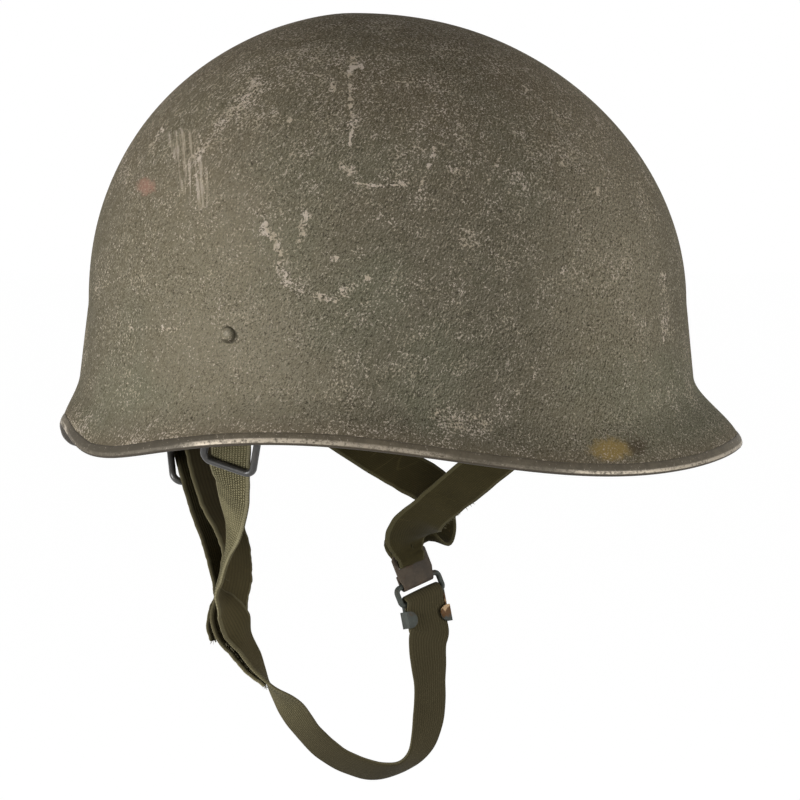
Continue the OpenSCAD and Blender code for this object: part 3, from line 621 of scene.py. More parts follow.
# Through the plate's slot: how far out from the plate, how high over its bar, and the width
SLOT_TURN = [(-bar_y - 1.5, 4, 18), (-bar_y, 0, 14), (-bar_y, -2.6, 12.7), (0, -4.3, 12.7),
             (bar_y, -2.6, 12.7), (bar_y, 0, 12.7), (bar_y + 1.5, 4, 14)]
nape_rows = (nape_end(NAPE_T[0])
             + full_width([
                 [64, -70, 29, 0.8, 0.35, -0.4], [50.5, -62, 12.5, 0.63, 0.18, -0.75],
                 [34, -50, -4, 0.62, 0.16, -0.75], [22, -34, -16.5, 0.65, 0.25, -0.7],
                 [14, -22, -25.5, 0.7, 0.25, -0.6]]) + [[10, -12, -32, 0.99, 0.1, 0.1, 24]]
             + [[*at_buckle(mid_y + y, bar_z + z), *buckle_u, w] for y, z, w in SLOT_TURN]
             + full_width([
                 [21, 9, -36, 0.92, 0.28, 0.27], [23.5, 18, -25, 0.86, 0.22, 0.47],
                 [24, 29, -16.5, 0.68, 0.16, 0.72], [16, 38, -11, 0.53, 0.1, 0.84],
                 [1.5, 50, -2, 0.51, 0, 0.86], [-31.5, 66, 20, 0.55, 0.6, 0.6],
                 [-58, 73, 37, 0.8, 0.55, 0.3]]) + nape_end(NAPE_T[1])[::-1])

# %% [markdown]
# One class turns any of these routes into cloth. It divides the curve finely, keeps the
# directions along, across and out of the face at every step, and adds what cloth does.

# %% Weave a strap
ACROSS = np.array([-1, -0.985, -0.93, -0.8, -0.6, -0.4, -0.2, 0,
                   0.2, 0.4, 0.6, 0.8, 0.93, 0.985, 1])
BULGE = np.array([0.25, 0.62, *[1.0] * 11, 0.62, 0.25])
FOLD_GAIN, FOLD_MOST, FOLD_PITCH, FOLD_LEAN = 0.03, 0.14, 7.5, 0.15
CUP_LEVEL = 0.33  # keeps a cupped strap's mean height at its middle line


class Strap:
    """The middle line of a strap, finely divided, with its across and face directions."""

    def __init__(self, rows, steps=12, cup=0.0, seed=1, wander=0.22, ripple=0.12):
        p = np.array([along(rows, i / steps) for i in range((len(rows) - 1) * steps + 1)])
        self.c, self.w, self.steps = p[:, :3], p[:, 6], steps
        d = np.gradient(self.c, axis=0)
        self.d = d / np.linalg.norm(d, axis=1)[:, None]
        a = p[:, 3:6] - (p[:, 3:6] * self.d).sum(1)[:, None] * self.d
        self.a = a / np.linalg.norm(a, axis=1)[:, None]
        self.f = np.cross(self.a, self.d)
        self.s = np.r_[0, np.cumsum(np.linalg.norm(np.diff(self.c, axis=0), axis=1))]
        n = len(p)
        self.cup = cup
        self.edge = [wander * wavy(n, range(6, 70), seed + k) for k in (0, 1)]
        self.ripple = [ripple * wavy(n, range(4, 40), seed + k) for k in (2, 3)]
        # A gathered strap keeps its cloth: the less the width, the deeper the folds across it.
        self.fold = np.clip((WEB_W - self.w) * FOLD_GAIN, 0, FOLD_MOST)

    def point(self, i, v, side):
        """A point at v across (-1 to 1), on the middle surface (side 0) or a face (side 1 or -1)."""
        edge = self.edge[1][i] * max(v, 0) - self.edge[0][i] * min(v, 0)
        x = v * (self.w[i] / 2) + (edge if v > 0 else -edge)
        bow = v * v - CUP_LEVEL
        rise = self.cup * bow + self.ripple[0][i] * v + self.ripple[1][i] * bow
        rise += self.fold[i] * math.sin(v * FOLD_PITCH + self.s[i] * FOLD_LEAN)
        return self.c[i] + self.a[i] * x + self.f[i] * (rise + side * WEB_T / 2)

    def rings(self):
        found = []
        for i in range(len(self.c)):
            front = [self.point(i, v, b) for v, b in zip(ACROSS, BULGE)]
            back = [self.point(i, v, -b) for v, b in zip(ACROSS[::-1], BULGE)]
            found.append(front + back)
        return found

    def build(self, name, front, back):
        """A mesh with the front material on the +f face and the back material on the other."""
        n = len(ACROSS)
        v_at = np.r_[ACROSS, ACROSS[::-1], ACROSS[0]] * WEB_W / 2 * MM
        slots = [0] * (n - 1) + [0] + [1] * (n - 1) + [1]
        return skin(name, self.rings(), False, [front, back], slots,
                    uv=lambda i, j: (self.s[min(i, len(self.s) - 1)] * MM, v_at[j]))

# %% [markdown]
# Each strap gets one finish on its front and one on its back, because the cloth's two faces
# differ. The loop under the chin has to sway when the buckle tilts, but here its placement is
# only baked into its mesh, and the other straps ride on the helmet.

# %% The four straps
web_coarse, web_smooth, web_face, web_olive, web_dark = (
    bpy.data.materials.new("webbing_" + look_name)
    for look_name in ("coarse_face", "smooth_face", "outer_face", "olive", "dark"))

chin = Strap(chin_rows, 14, cup=0.25, seed=11)
inner = Strap(inner_rows, 14, cup=0.1, seed=21)
outer = Strap(outer_rows, 14, cup=0.1, seed=31)
nape = Strap(nape_rows, 14, cup=0.1, seed=41, ripple=0.3)
chin_strap = chin.build("chin_strap_webbing", web_smooth, web_face)
inner_strap = inner.build("inner_strap_webbing", web_coarse, web_smooth)
ring_strap = outer.build("ring_strap_webbing", web_coarse, web_dark)
nape_strap = nape.build("nape_strap_webbing", web_olive, web_olive)
for piece, node in ((chin_strap, "chin_strap"), (inner_strap, "inner_strap_right"),
                    (ring_strap, "ring_strap_right"), (nape_strap, "nape_strap")):
    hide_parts(node)
    print(piece.name, "volume and open edges", volume(piece.data))
for piece in (inner_strap, ring_strap, nape_strap):
    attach(piece, "root")
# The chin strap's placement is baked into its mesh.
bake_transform(chin_strap)

# %% [markdown]
# Rolled and stamped metal always has softened edges that catch the light. The metal nodes of
# the CAD model keep their exact shape: a copy is merged to one skin, its edges are bevelled
# by a fraction of a millimetre, and the copy stands for the node.

# %% Soften the metal parts
SAME_POINT, FLAT = 0.000004, math.radians(0.6)


def softened(node, name, material, width, slot, body="root", angle=32):
    """A copy of a CAD node with bevelled edges, their width in mm, that stands for the node."""
    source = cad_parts[node]
    mesh = (bpy.data.objects[source] if isinstance(source, str) else source).data.copy()
    b = bmesh.new()
    b.from_mesh(mesh)
    bmesh.ops.remove_doubles(b, verts=b.verts, dist=SAME_POINT)
    bmesh.ops.dissolve_limit(b, angle_limit=FLAT, verts=b.verts, edges=b.edges)
    for f in b.faces:
        f.smooth = True
    for e in b.edges:
        e.smooth = not (len(e.link_faces) == 2 and e.calc_face_angle(0) > math.radians(angle))
    b.to_mesh(mesh)
    b.free()
    mesh.materials.clear()
    mesh.materials.append(material)
    obj = place(name, mesh)
    if width:
        bevel = obj.modifiers.new("edges", "BEVEL")
        bevel.width, bevel.segments, bevel.limit_method = width * MM, 2, "ANGLE"
        bevel.angle_limit = math.radians(angle)
        bevel.harden_normals = True
        bevel.use_clamp_overlap = True
        graph = bpy.context.evaluated_depsgraph_get()
        obj.data = bpy.data.meshes.new_from_object(obj.evaluated_get(graph))
        obj.modifiers.clear()
        obj.data.name = name
    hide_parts(node)
    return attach(obj, body)


plate_metal, buckle_metal, ring_metal, liner_metal, bare_metal, brass_metal = map(
    bpy.data.materials.new,
    ("hook_plate_steel", "buckle_steel", "ring_lacquer", "liner_primer", "bare_steel", "dull_brass"))
for node, name, material, width, *slot_and_body in (
        ("hook_plate", "hook_plate_stamped", plate_metal, 0.22, "plate_steel"),
        ("chin_buckle", "chin_buckle_wire", buckle_metal, 0.32, "buckle_steel", "chin_buckle"),
        ("ring_left", "slide_ring_left", ring_metal, 0, "dark_wire", "ring_left"),
        ("ring_right", "slide_ring_right", ring_metal, 0, "dark_wire", "ring_right"),
        ("anchor_plate_left", "anchor_washer_left", liner_metal, 0.2, "plate_steel"),
        ("anchor_plate_right", "anchor_washer_right", liner_metal, 0.2, "plate_steel"),
        ("crown_stud", "crown_stud_turned", bare_metal, 0.2, "bare_steel"),
        ("crown_washer", "crown_washer_pressed", bare_metal, 0.15, "bare_steel"),
        ("crown_nut", "crown_nut_slotted", brass_metal, 0.25, "brass"),
        ("liner_hoop", "liner_hoop_steel", liner_metal, 0.2, "liner_steel"),
        ("liner_cross", "liner_cross_steel", liner_metal, 0.2, "liner_steel")):
    piece = softened(node, name, material, width, *slot_and_body)
    print(piece.name, [round(v * 1000, 1) for v in piece.dimensions])

# %% [markdown]
# The liner is held by small tubular rivets. Geometry Nodes is the natural tool for anything
# that repeats: one rivet is turned like a vase from a flat grid, and a copy is put on every
# point of a small mesh, turned so that its head looks along the point's facing direction.

# %% Rivets of the liner
HEAD_END, UNDER_END, SHANK_END = 0.4, 0.5, 0.6  # the shares of the rows, from the head down


def facing_of(maker):
    return maker.geo("InputNamedAttribute", {"Name": "facing"}, {"data_type": "FLOAT_VECTOR"})


def copies(maker, points, one, turn, size, material):
    """One thing on every point, as a smooth mesh with its material."""
    placed = maker.geo("InstanceOnPoints", {"Points": points, "Instance": one, "Rotation": turn,
                                            "Scale": size})
    real = maker.geo("RealizeInstances", {"Geometry": placed})
    real = maker.geo("SetShadeSmooth", {"Geometry": real})
    return maker.geo("SetMaterial", {"Geometry": real, "Material": material})


def rivet_tree():
    maker, given = new_tree("set_rivets", {
        "Head Radius": ("Float", 0.0032), "Head Height": ("Float", 0.001),
        "Shank Radius": ("Float", 0.0015), "Grip": ("Float", 0.0026), "Tail Radius": ("Float", 0.0027),
        "Tail Height": ("Float", 0.0007), "Around": ("Int", 28), "Rows": ("Int", 31),
        "Metal": ("Material", None)})
    grid = maker.geo("MeshGrid", {"Vertices X": given["Around"] + 1, "Vertices Y": given["Rows"],
                                  "Size X": 1.0, "Size Y": 1.0})
    x, y, _ = maker.split(maker.geo("InputPosition"))
    t, k = (x + 0.5) * 360, y + 0.5
    head, under = clamp01(k / HEAD_END), clamp01((k - HEAD_END) / 0.1)
    grip, tail = clamp01((k - UNDER_END) / 0.1), clamp01((k - SHANK_END) / 0.4)
    in_head, over_tail = k < HEAD_END + 0.0001, k < SHANK_END - 0.0001
    neck = given["Head Radius"] + under * (given["Shank Radius"] - given["Head Radius"])
    r = pick(in_head, given["Head Radius"] * sin(head * 90),
             pick(over_tail, neck, given["Tail Radius"] * sin(90 - tail * 90)))
    tail_h = -given["Grip"] - given["Tail Height"] * sin(tail * 90)
    h = pick(in_head, given["Head Height"] * cos(head * 90),
             pick(over_tail, -(grip * given["Grip"]), tail_h))
    where = maker.join(r * cos(t), r * sin(t), h)
    turned = maker.geo("SetPosition", {"Geometry": grid, "Position": where})
    one = maker.geo("MergeByDistance", {"Geometry": turned, "Distance": 0.00001})
    one = maker.geo("FlipFaces", {"Mesh": one})
    turn = maker.node("FunctionNodeAlignRotationToVector", {"axis": "Z"}, {"Vector": facing_of(maker)})
    points = maker.geo("MeshToPoints", {"Mesh": given["Geometry"]})
    return end_tree(maker, copies(maker, points, one, turn, None, given["Metal"]))


def line_mesh(name, lines):
    """Points in mm with a facing direction, row by row. Neighbours in a row are joined by edges."""
    points, facings, edges = [], [], []
    for line in lines:
        start = len(points)
        for at, facing in line:
            points.append([float(v) * MM for v in np.asarray(at) + LIFT])
            facings += [float(v) for v in facing]
        edges += [(i, i + 1) for i in range(start, len(points) - 1)]
    mesh = bpy.data.meshes.new(name)
    mesh.from_pydata(points, edges, [])
    mesh.attributes.new("facing", "FLOAT_VECTOR", "POINT").data.foreach_set("vector", facings)
    return mesh


ARM_T, ARM_RIVET_Z, BAND_RIVET_Z = (40, 140, 220, 320), HEAD_H + HOOP_H / 2 - 6, hoop_lo + 6
BAND_T = [(k + 0.5) * 45 for k in range(8)]
BAND_IN, LEATHER_T = HOOP_T + 1, 1.8
set_rivets = rivet_tree()
for name, angles, z, out, grip, metal, nodes, slot in (
        ("arm_rivet_heads", ARM_T, ARM_RIVET_Z, 1.5, 2.6, bare_metal, ("arm_rivets",), "bare_steel"),
        ("band_rivet_heads", BAND_T, BAND_RIVET_Z, 0.05, 3.95, brass_metal, ("sweatband_rivets",), "brass"),
        ("nape_rivet_heads", NAPE_T, NAPE_RIVET_Z, 0.35 + WEB_T, 3.05, bare_metal,
         ("nape_rivet_left", "nape_rivet_right"), "bare_steel")):
    spots = line_mesh(name + "_spots", [[(hoop_pt(t, out, z), hoop_n(t))] for t in angles])
    rivets = grown(name, set_rivets, {"Grip": grip * MM, "Metal": metal}, spots)
    fitted(rivets, slot, *nodes)

# %% [markdown]
# Two rivets hold the chin strap through the shell. Their heads are painted over with the
# shell, so they wear the same gritty paint, which is what makes them look pressed in.

# %% Side rivets
for side_name in ("left", "right"):
    head = softened("side_rivet_" + side_name, f"side_rivet_{side_name}_head", helmet_paint, 0.2,
                    "rivet_paint", angle=50)
    for label, value in (("above_rim", 40.0), ("rivet_head", 1.0)):
        marked = head.data.attributes.new(label, "FLOAT", "POINT")
        marked.data.foreach_set("value", [value] * len(head.data.vertices))

# %% [markdown]
# The sweatband is a strip of leather riveted inside the hoop, with a rolled edge below where
# it touches the head. It is lofted round the oval, thicker at the roll, with a slow wave, since
# leather dries out of shape between its rivets.

# %% Leather sweatband
leather = bpy.data.materials.new("liner_leather")
BAND_HI = HEAD_H - 1
BAND_LO = hoop_lo - 4
BAND_ROUND = 240
band_section = ([(0.1, BAND_HI - 0.35), (0.35, BAND_HI), (LEATHER_T - 0.35, BAND_HI),
                 (LEATHER_T - 0.1, BAND_HI - 0.35)]
                + [(LEATHER_T + 0.05 * math.sin(z), z) for z in np.linspace(BAND_HI - 2, BAND_LO + 4, 7)]
                + [(LEATHER_T * 0.5 + 1.25 * math.cos(a), BAND_LO + 1.6 - 1.6 * math.sin(a))
                   for a in np.radians([-15, 15, 45, 75, 105, 135, 165])]
                + [(-0.05, z) for z in np.linspace(BAND_LO + 4, BAND_HI - 2, 5)])
wave = wavy(BAND_ROUND, range(5, 22), 61)
band_rings = []
for i in range(BAND_ROUND):
    t = i * 360 / BAND_ROUND
    near = min(abs((t - b + 180) % 360 - 180) for b in BAND_T) / 22.5
    sag = 0.35 * near * wave[i]
    band_rings.append([hoop_pt(t, -BAND_IN - d - sag * (1 if z < BAND_HI - 1 else 0.3), z)
                       for d, z in band_section])
sweatband = skin("leather_sweatband", band_rings, True, [leather],
                 uv=lambda i, j: (i / BAND_ROUND * 0.64, band_section[j % len(band_section)][1] * MM))
fitted(sweatband, "leather", "sweatband")

# %% [markdown]
# Eight leather tongues rise from the band and are drawn together by a lace, like the top of a
# pouch. Each is a bent sheet with rounded edges: a row of sections from the band to the lace,
# drawn in at the tip and cupped between its edges, with a shallow pucker where the lace pulls.

# %% Leather tongues
LACE_X, LACE_Z, LACE_R, LACE_D = -6, 140.0, 36.0, 2.6
EDGE_IN = np.array([-1, -0.985, -0.95, -0.8, -0.6, -0.4, -0.2, 0, 0.2, 0.4, 0.6, 0.8, 0.95, 0.985, 1])
EDGE_THICK = np.array([0.3, 0.7, 0.95, *[1] * 9, 0.95, 0.7, 0.3])


def tongue_pt(t, u, inset):
    base = hoop_pt(t, -BAND_IN - inset, 0)
    lift, draw = math.sin(math.radians(90 * u)), 1 - math.cos(math.radians(90 * u))
    top = [LACE_X - (LACE_R - inset) * cos(t), -(LACE_R - inset) * sin(t)]
    return [base[0] + (top[0] - base[0]) * draw, base[1] + (top[1] - base[1]) * draw,
            BAND_HI + 0.05 + (LACE_Z - BAND_HI - 0.05 - inset * draw) * lift]


def tongue_rings(k, seed):
    roll = np.random.default_rng(seed)
    lean, cup = roll.uniform(-0.4, 0.4), roll.uniform(0.3, 0.7)
    rings = []
    for u in np.r_[0, 0.004, np.linspace(0.03, 0.97, 30), 0.992, 1]:
        half = 22.5 * (0.985 - 0.25 * smooth(u * 1.4))
        tip = 1 - 0.06 * max(0, (u - 0.97) / 0.03) ** 2 - 0.03 * max(0, (0.01 - u) / 0.01)
        pucker = 0.45 * smooth((u - 0.72) / 0.28)
        thin = 1 - 0.6 * max(0, (abs(u - 0.5) - 0.49) / 0.01)
        rows = []
        for v, b in [*zip(EDGE_IN, EDGE_THICK)] + [*zip(EDGE_IN[::-1], -EDGE_THICK)]:
            rise = cup * (1 - v * v) * math.sin(math.pi * u) + lean * v * math.sin(math.pi * u)
            rise += pucker * (math.cos(v * 9) * 0.5 - 0.5)
            middle = LEATHER_T / 2 - rise * 0.6
            rows.append(tongue_pt(BAND_T[k] + half * tip * v, u, middle + b * thin * LEATHER_T / 2 * 0.98))
        rings.append(rows)
    return rings


def joined(name, parts):
    """One object from several, in order."""
    b = bmesh.new()
    for part in parts:
        b.from_mesh(part.data)
    materials = list(parts[0].data.materials)
    for part in parts:
        bpy.data.objects.remove(part)
    mesh = bpy.data.meshes.new(name)
    b.to_mesh(mesh)
    b.free()
    for material in materials:
        mesh.materials.append(material)
    return place(name, mesh)


tongues = joined("leather_tongues", [skin("tongue", tongue_rings(k, 70 + k), False, [leather],
                                          uv=lambda i, j: (i * 0.0035 + 0.1, j * 0.001)) for k in range(8)])
fitted(tongues, "leather", "crown_tongues")

# %% [markdown]
# The lace is a three-strand cord. Real strands are helices round the same path, so three
# helices are swept round the ring, each a little thicker than a third of the cord.

# %% Lace
lace_cotton = bpy.data.materials.new("lace_cotton")
TWISTS, LACE_STEPS, STRAND_R = 44, 440, 0.27 * LACE_D


def strand(phase):
    rings = []
    for i in range(LACE_STEPS):
        a = i / LACE_STEPS * 2 * math.pi
        radial = np.array([math.cos(a), math.sin(a), 0])
        z = np.array([0, 0, 1.0])
        w = TWISTS * a + phase
        middle = np.array([LACE_X, 0, LACE_Z + LACE_D / 2 + 0.2]) + radial * (LACE_R + 4) + STRAND_R * (
            math.cos(w) * radial + math.sin(w) * z)
        rings.append([middle + STRAND_R * (math.cos(b) * radial + math.sin(b) * z)
                      for b in np.arange(8) / 8 * 2 * math.pi])
    return skin("strand", rings, True, [lace_cotton],
                uv=lambda i, j: (i / LACE_STEPS * 0.25, j / 8 * 0.004))


lace = joined("lace_cord", [strand(p) for p in (0, 2.094, 4.189)])
fitted(lace, "lace", "tongue_lace")

# %% [markdown]
# A thick felt ring cushions the steel cross under the shell. Felt has no crisp edge, so the
# ring is turned from a section with soft shoulders and then pushed about by a slow wobble.

# %% Felt pad
felt = bpy.data.materials.new("pad_felt")
FOOT_H, PAD_T, PAD_D, STUD_D = 5.0, 6.0, 56.0, 6.0
HUB_Z = BELT_Z + DOME_H - WALL - 1.2 - FOOT_H - PAD_T
PAD_ROUND = 120
pad_in, pad_out, pad_h = STUD_D / 2 + 1.2, PAD_D / 2 - 0.1, PAD_T - 0.2
pad_section = [(pad_in, 0.9), (pad_in + 0.3, 0.25), (pad_in + 1.2, 0.05), (pad_in + 5, 0),
               (pad_out - 5, 0.02), (pad_out - 2, 0.2), (pad_out - 0.7, 0.9), (pad_out - 0.1, 2),
               (pad_out, pad_h / 2), (pad_out - 0.1, pad_h - 2), (pad_out - 0.7, pad_h - 0.9),
               (pad_out - 2, pad_h - 0.2), (pad_out - 5, pad_h), (pad_in + 5, pad_h),
               (pad_in + 1.2, pad_h - 0.05), (pad_in, pad_h - 0.8)]
pad_wobble = [0.3 * wavy(PAD_ROUND, range(4, 26), 90 + k) for k in range(2)]
pad_rings = []
for i in range(PAD_ROUND):
    a, ring = -i / PAD_ROUND * 2 * math.pi, []
    for r, h in pad_section:
        reach = r - abs(pad_wobble[0][i]) * (r > 20)
        ring.append([-CROWN_SHIFT + reach * math.cos(a), reach * math.sin(a),
                     HUB_Z + h - abs(pad_wobble[1][i]) * 0.4 * (h > 3) * (r > 15)])
    pad_rings.append(ring)
felt_pad = skin("felt_crown_pad", pad_rings, True, [felt])
fitted(felt_pad, "felt", "crown_pad")

# %% [markdown]
# Stitches repeat along a path, so they are another job for Geometry Nodes: the seam is a line
# of edges with a facing direction, the tree resamples it at the stitch length and lays a small
# rounded thread on every point, turned along the seam and lifted off the cloth.

# %% Stitches
def stitch_tree():
    maker, given = new_tree("sew_stitches", {
        "Pitch": ("Float", 0.003), "Length": ("Float", 0.0024), "Thickness": ("Float", 0.0007),
        "Unevenness": ("Float", 0.14), "Seed": ("Int", 5), "Thread": ("Material", None)})
    seam = maker.geo("MeshToCurve", {"Mesh": given["Geometry"]})
    spaced = maker.geo("ResampleCurve", {"Curve": seam, "Length": given["Pitch"]}, {"mode": "LENGTH"})
    turn = maker.node("FunctionNodeAlignRotationToVector", {"axis": "X"},
                      {"Vector": maker.geo("InputTangent")})
    turn = maker.node("FunctionNodeAlignRotationToVector", {"axis": "Z", "pivot_axis": "X"},
                      {"Rotation": turn, "Vector": facing_of(maker)})
    ball = maker.geo("MeshUVSphere", {"Segments": 8, "Rings": 6, "Radius": 0.5})
    one = maker.geo("Transform", {"Geometry": ball, "Scale": maker.join(
        given["Length"], given["Thickness"], given["Thickness"] * 0.8)})
    size = maker.node("FunctionNodeRandomValue", {"data_type": "FLOAT"}, {
        "Min": 1 - given["Unevenness"], "Max": 1 + given["Unevenness"], "Seed": given["Seed"]}, 1)
    return end_tree(maker, copies(maker, spaced, one, turn, size, given["Thread"]))


def on_strap(strap, i, v, side, lift=0.12):
    """A place on a strap's face, and the way that face looks."""
    facing = strap.f[i] * side
    return strap.point(i, v, side) + facing * lift, facing


def box_seam(strap, a, b, side, reach=0.74, cross=True):
    """A sewn box between two stations of a strap, with a cross in it."""
    lines = [[on_strap(strap, i, v, side) for i in range(a, b + 1)] for v in (-reach, reach)]
    lines += [[on_strap(strap, i, v, side) for v in np.linspace(-reach, reach, 9)] for i in (a, b)]
    if cross:
        slant = zip(range(a, b + 1), np.linspace(-reach, reach, b - a + 1))
        lines.append([on_strap(strap, i, v, side) for i, v in slant])
    return lines


thread = bpy.data.materials.new("sewing_thread")
sew = stitch_tree()
inner_end, outer_end, chin_end = (len(strap.c) - 1 for strap in (inner, outer, chin))
fixed_seams = (box_seam(inner, inner_end - 34, inner_end - 4, -1)
               + box_seam(outer, outer_end - 13, outer_end - 2, -1, cross=False))
swaying_seams = [[on_strap(chin, chin_end - k, v, 1) for v in np.linspace(-0.8, 0.8, 9)]
                 for k in (8, 20)]
band_seam = [[(hoop_pt(t, -BAND_IN - LEATHER_T - 0.18, BAND_LO + 4.6), -hoop_n(t))
              for t in np.arange(0, 361, 3)]]
seams = grown("strap_stitches", sew, {"Thread": thread}, line_mesh("strap_seams", fixed_seams))
sway = grown("buckle_stitches", sew, {"Thread": thread}, line_mesh("buckle_seams", swaying_seams))
hem = grown("sweatband_stitches", sew, {"Thread": thread, "Pitch": 0.0038, "Length": 0.003},
            line_mesh("hem_seam", band_seam))
for piece in (seams, hem):
    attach(piece, "root")
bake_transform(sway)
print("stitches:", [len(piece.data.vertices) for piece in (seams, sway, hem)])

# %% [markdown]
# Old webbing frays. A loose thread is a thin tube along a short path that curls away from the
# edge of a strap; cut ends get a row of them, and one longer thread hangs off the chin strap.

# %% Loose threads
fray_rng = np.random.default_rng(23)
frayed_cotton = bpy.data.materials.new("frayed_cotton")


def loose_thread(start, heading, length, radius=0.13, curl=0.5):
    """A curling tube in mm, thinner towards its free end."""
    heading, bend = unit(heading), unit(np.cross(heading, fray_rng.normal(size=3)))
    across = np.cross(heading, bend)
    rings = []
    for k in np.linspace(0, 1, 9):
        middle = np.asarray(start) + heading * length * k + bend * curl * length * k * k
        r = radius * (1 - 0.75 * k * k)
        rings.append([middle + r * (math.cos(b) * bend + math.sin(b) * across)
                      for b in np.arange(6) / 6 * 2 * math.pi])
    return skin("thread", rings, False, [frayed_cotton])


def frayed(strap, stations, reach, outward, lengths):
    """Threads from places on a strap, each leaning outward and a little at random."""
    return [loose_thread(strap.point(i, v, 0), outward[i] + fray_rng.normal(size=3) * 0.35,
                         fray_rng.uniform(*lengths)) for i, v in zip(stations, reach)]


tail_threads = []
for strap in (inner, outer):
    last = len(strap.c) - 1
    tail_threads += frayed(strap, [last] * 14, np.linspace(-0.95, 0.95, 14), strap.d, (0.8, 2.4))
edge_threads = frayed(nape, fray_rng.integers(94, 116, 16), [1.0] * 16, nape.a, (0.5, 1.6))
hanging = [loose_thread(chin.point(174, -1, 0), (0.9, -0.2, -0.3), 4.2, 0.16, 0.3)]
fray = joined("frayed_threads", tail_threads + edge_threads + hanging)
print(fray.name, "volume and open edges", volume(fray.data))
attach(fray, "root")

# %% [markdown]
# The shell's paint has sand in it, to kill the shine, and half a century of knocks. It is made
# in five steps, and the first is a map of where the helmet was rubbed: more at the crown and
# the rim, and along the scrapes that the photograph shows on the left side. Each scrape is a
# line of a few points in the plane of x and z, and a point's distance to it comes from Vector
# Math nodes. An image could hold such a map, but lines stay sharp at any size.

# %% Where the shell was rubbed
SCRAPES = {  # x and z of the points in mm on the left side, then the half width and the strength
    "crack": ([(-21, 99), (-24, 92), (-25, 84), (-24, 75), (-26, 66), (-26, 54)], 0.9, 1.0),
    "cross_cut": ([(-26, 49), (-15, 48), (-3, 49)], 0.5, 1.0),
    "chain": ([(-61, 32), (-56, 27), (-54, 21), (-55, 15), (-53, 10), (-46, 6), (-39, 3), (-30, 7),
               (-21, 11)], 1.8, 1.0),
    "dotted": ([(-110, -9), (-92, -9)], 0.9, 0.75),
    "rear_rub": ([(107, 12), (107, -14)], 2.2, 0.75),
    "faint": ([(53, -13), (51, -23), (36, -35)], 1.0, 0.65),
    "double": ([(-14, 89), (1, 90)], 0.6, 0.7),
    "arc": ([(-86, 56), (-80, 69), (-67, 81), (-60, 89)], 3.0, 0.58),
    "left_arc": ([(-96, 71), (-101, 63), (-105, 57)], 1.6, 0.65),
    "upright": ([(-45, 38), (-47, 24)], 1.5, 0.7),
    "hook": ([(34, 60), (28, 49)], 1.2, 0.7),
    "short": ([(36, 54), (43, 52)], 1.2, 0.7),
    "pink_long": ([(8, 65), (5, 55), (1, 46)], 1.1, 0.7),
    "pink_short": ([(11, 55), (19, 54)], 1.0, 0.7),
}
KNOCKS = [  # x, z and radius in mm on the left side
    (-20, 97, 3.2), (-31, 87, 2.6), (50, 88, 2.8), (-54, 13, 3.2), (-43, 37, 2.3), (-34, 19, 2.2),
    (-30, 56, 3), (76, 46, 2.2), (-27, 54, 2.6), (-61, 30, 2.6), (-49, 74, 2.0), (-33, 3, 2.6),
    (61, 57, 2.0), (59, 14, 2.0)]
LOW_RUB = [(8, -43), (25, -47)]


def to_line(m, spot, points):
    """The distance from a spot to a broken line."""
    near = None
    for a, b in zip(points, points[1:]):
        a, b = (Vector((*p, 0)) for p in (a, b))
        heading, length = (b - a).normalized(), (b - a).length
        rel = m.shift(spot, -a)
        on = m.vector("DOT_PRODUCT", {0: rel, 1: heading}, "Value")
        on = m.node("ShaderNodeClamp", None, {"Value": on, "Min": 0.0, "Max": length})
        foot = m.vector("SCALE", {0: heading, "Scale": on})
        gap = m.vector("DISTANCE", {0: rel, 1: foot}, "Value")
        near = gap if near is None else near.math("MINIMUM", gap)
    return near


def to_point(m, spot, at, squash=1.0):
    """The distance to a point, in a circle or, with squash, in a flat ellipse."""
    rel = m.stretch(m.shift(spot, (-at[0], -at[1], 0)), (1, squash, 1))
    return m.vector("LENGTH", {0: rel}, "Value")


m, spot = begin(helmet_paint)
x, y, z = m.split(spot)
side = m.join(x * 1000, z * 1000, 0)
left = y < -0.03
above = m.node("ShaderNodeAttribute", {"attribute_name": "above_rim"}, None, "Fac")
outside = 1 - m.node("ShaderNodeAttribute", {"attribute_name": "inside"}, None, "Fac")
wander = m.noise(spot, 300.0, 2.0, 0.6, "Color")
shaky = m.shift(side, m.stretch(m.shift(wander, (-0.5, -0.5, -0.5)), (5, 5, 0)))
rubbed = 0
for points, half, strength in SCRAPES.values():
    rubbed = to_line(m, shaky, points).span(half * 1.6, half * 0.3) * strength + rubbed
for kx, kz, r in KNOCKS:
    rubbed = to_point(m, shaky, (kx, kz)).span(r, r * 0.3) + rubbed
on_head = m.node("ShaderNodeAttribute", {"attribute_name": "rivet_head"}, None, "Fac")
broken = m.blotches(spot, 190.0, 2.0, 0.6, 0.36, 0.56, (1.9, 0.4, 0.8))
rubbed = clamp01(rubbed) * left * (0.35 + broken * 0.65)
high = z.span(0.0, 0.11)
patchy = m.blotches(spot, 38.0, 3.0, 0.6, 0.42, 0.68)
low_rub = to_line(m, side, LOW_RUB).span(7, 2) * left
rim_wear = above.span(15, 3) * m.blotches(spot, 60.0, 2.0, 0.5, 0.35, 0.62)
density = clamp01(high * 0.3 + patchy * 0.3 + rim_wear * 0.5 + low_rub * 0.8) * outside
print("map of wear:", len(SCRAPES), "scrapes and", len(KNOCKS), "knocks")
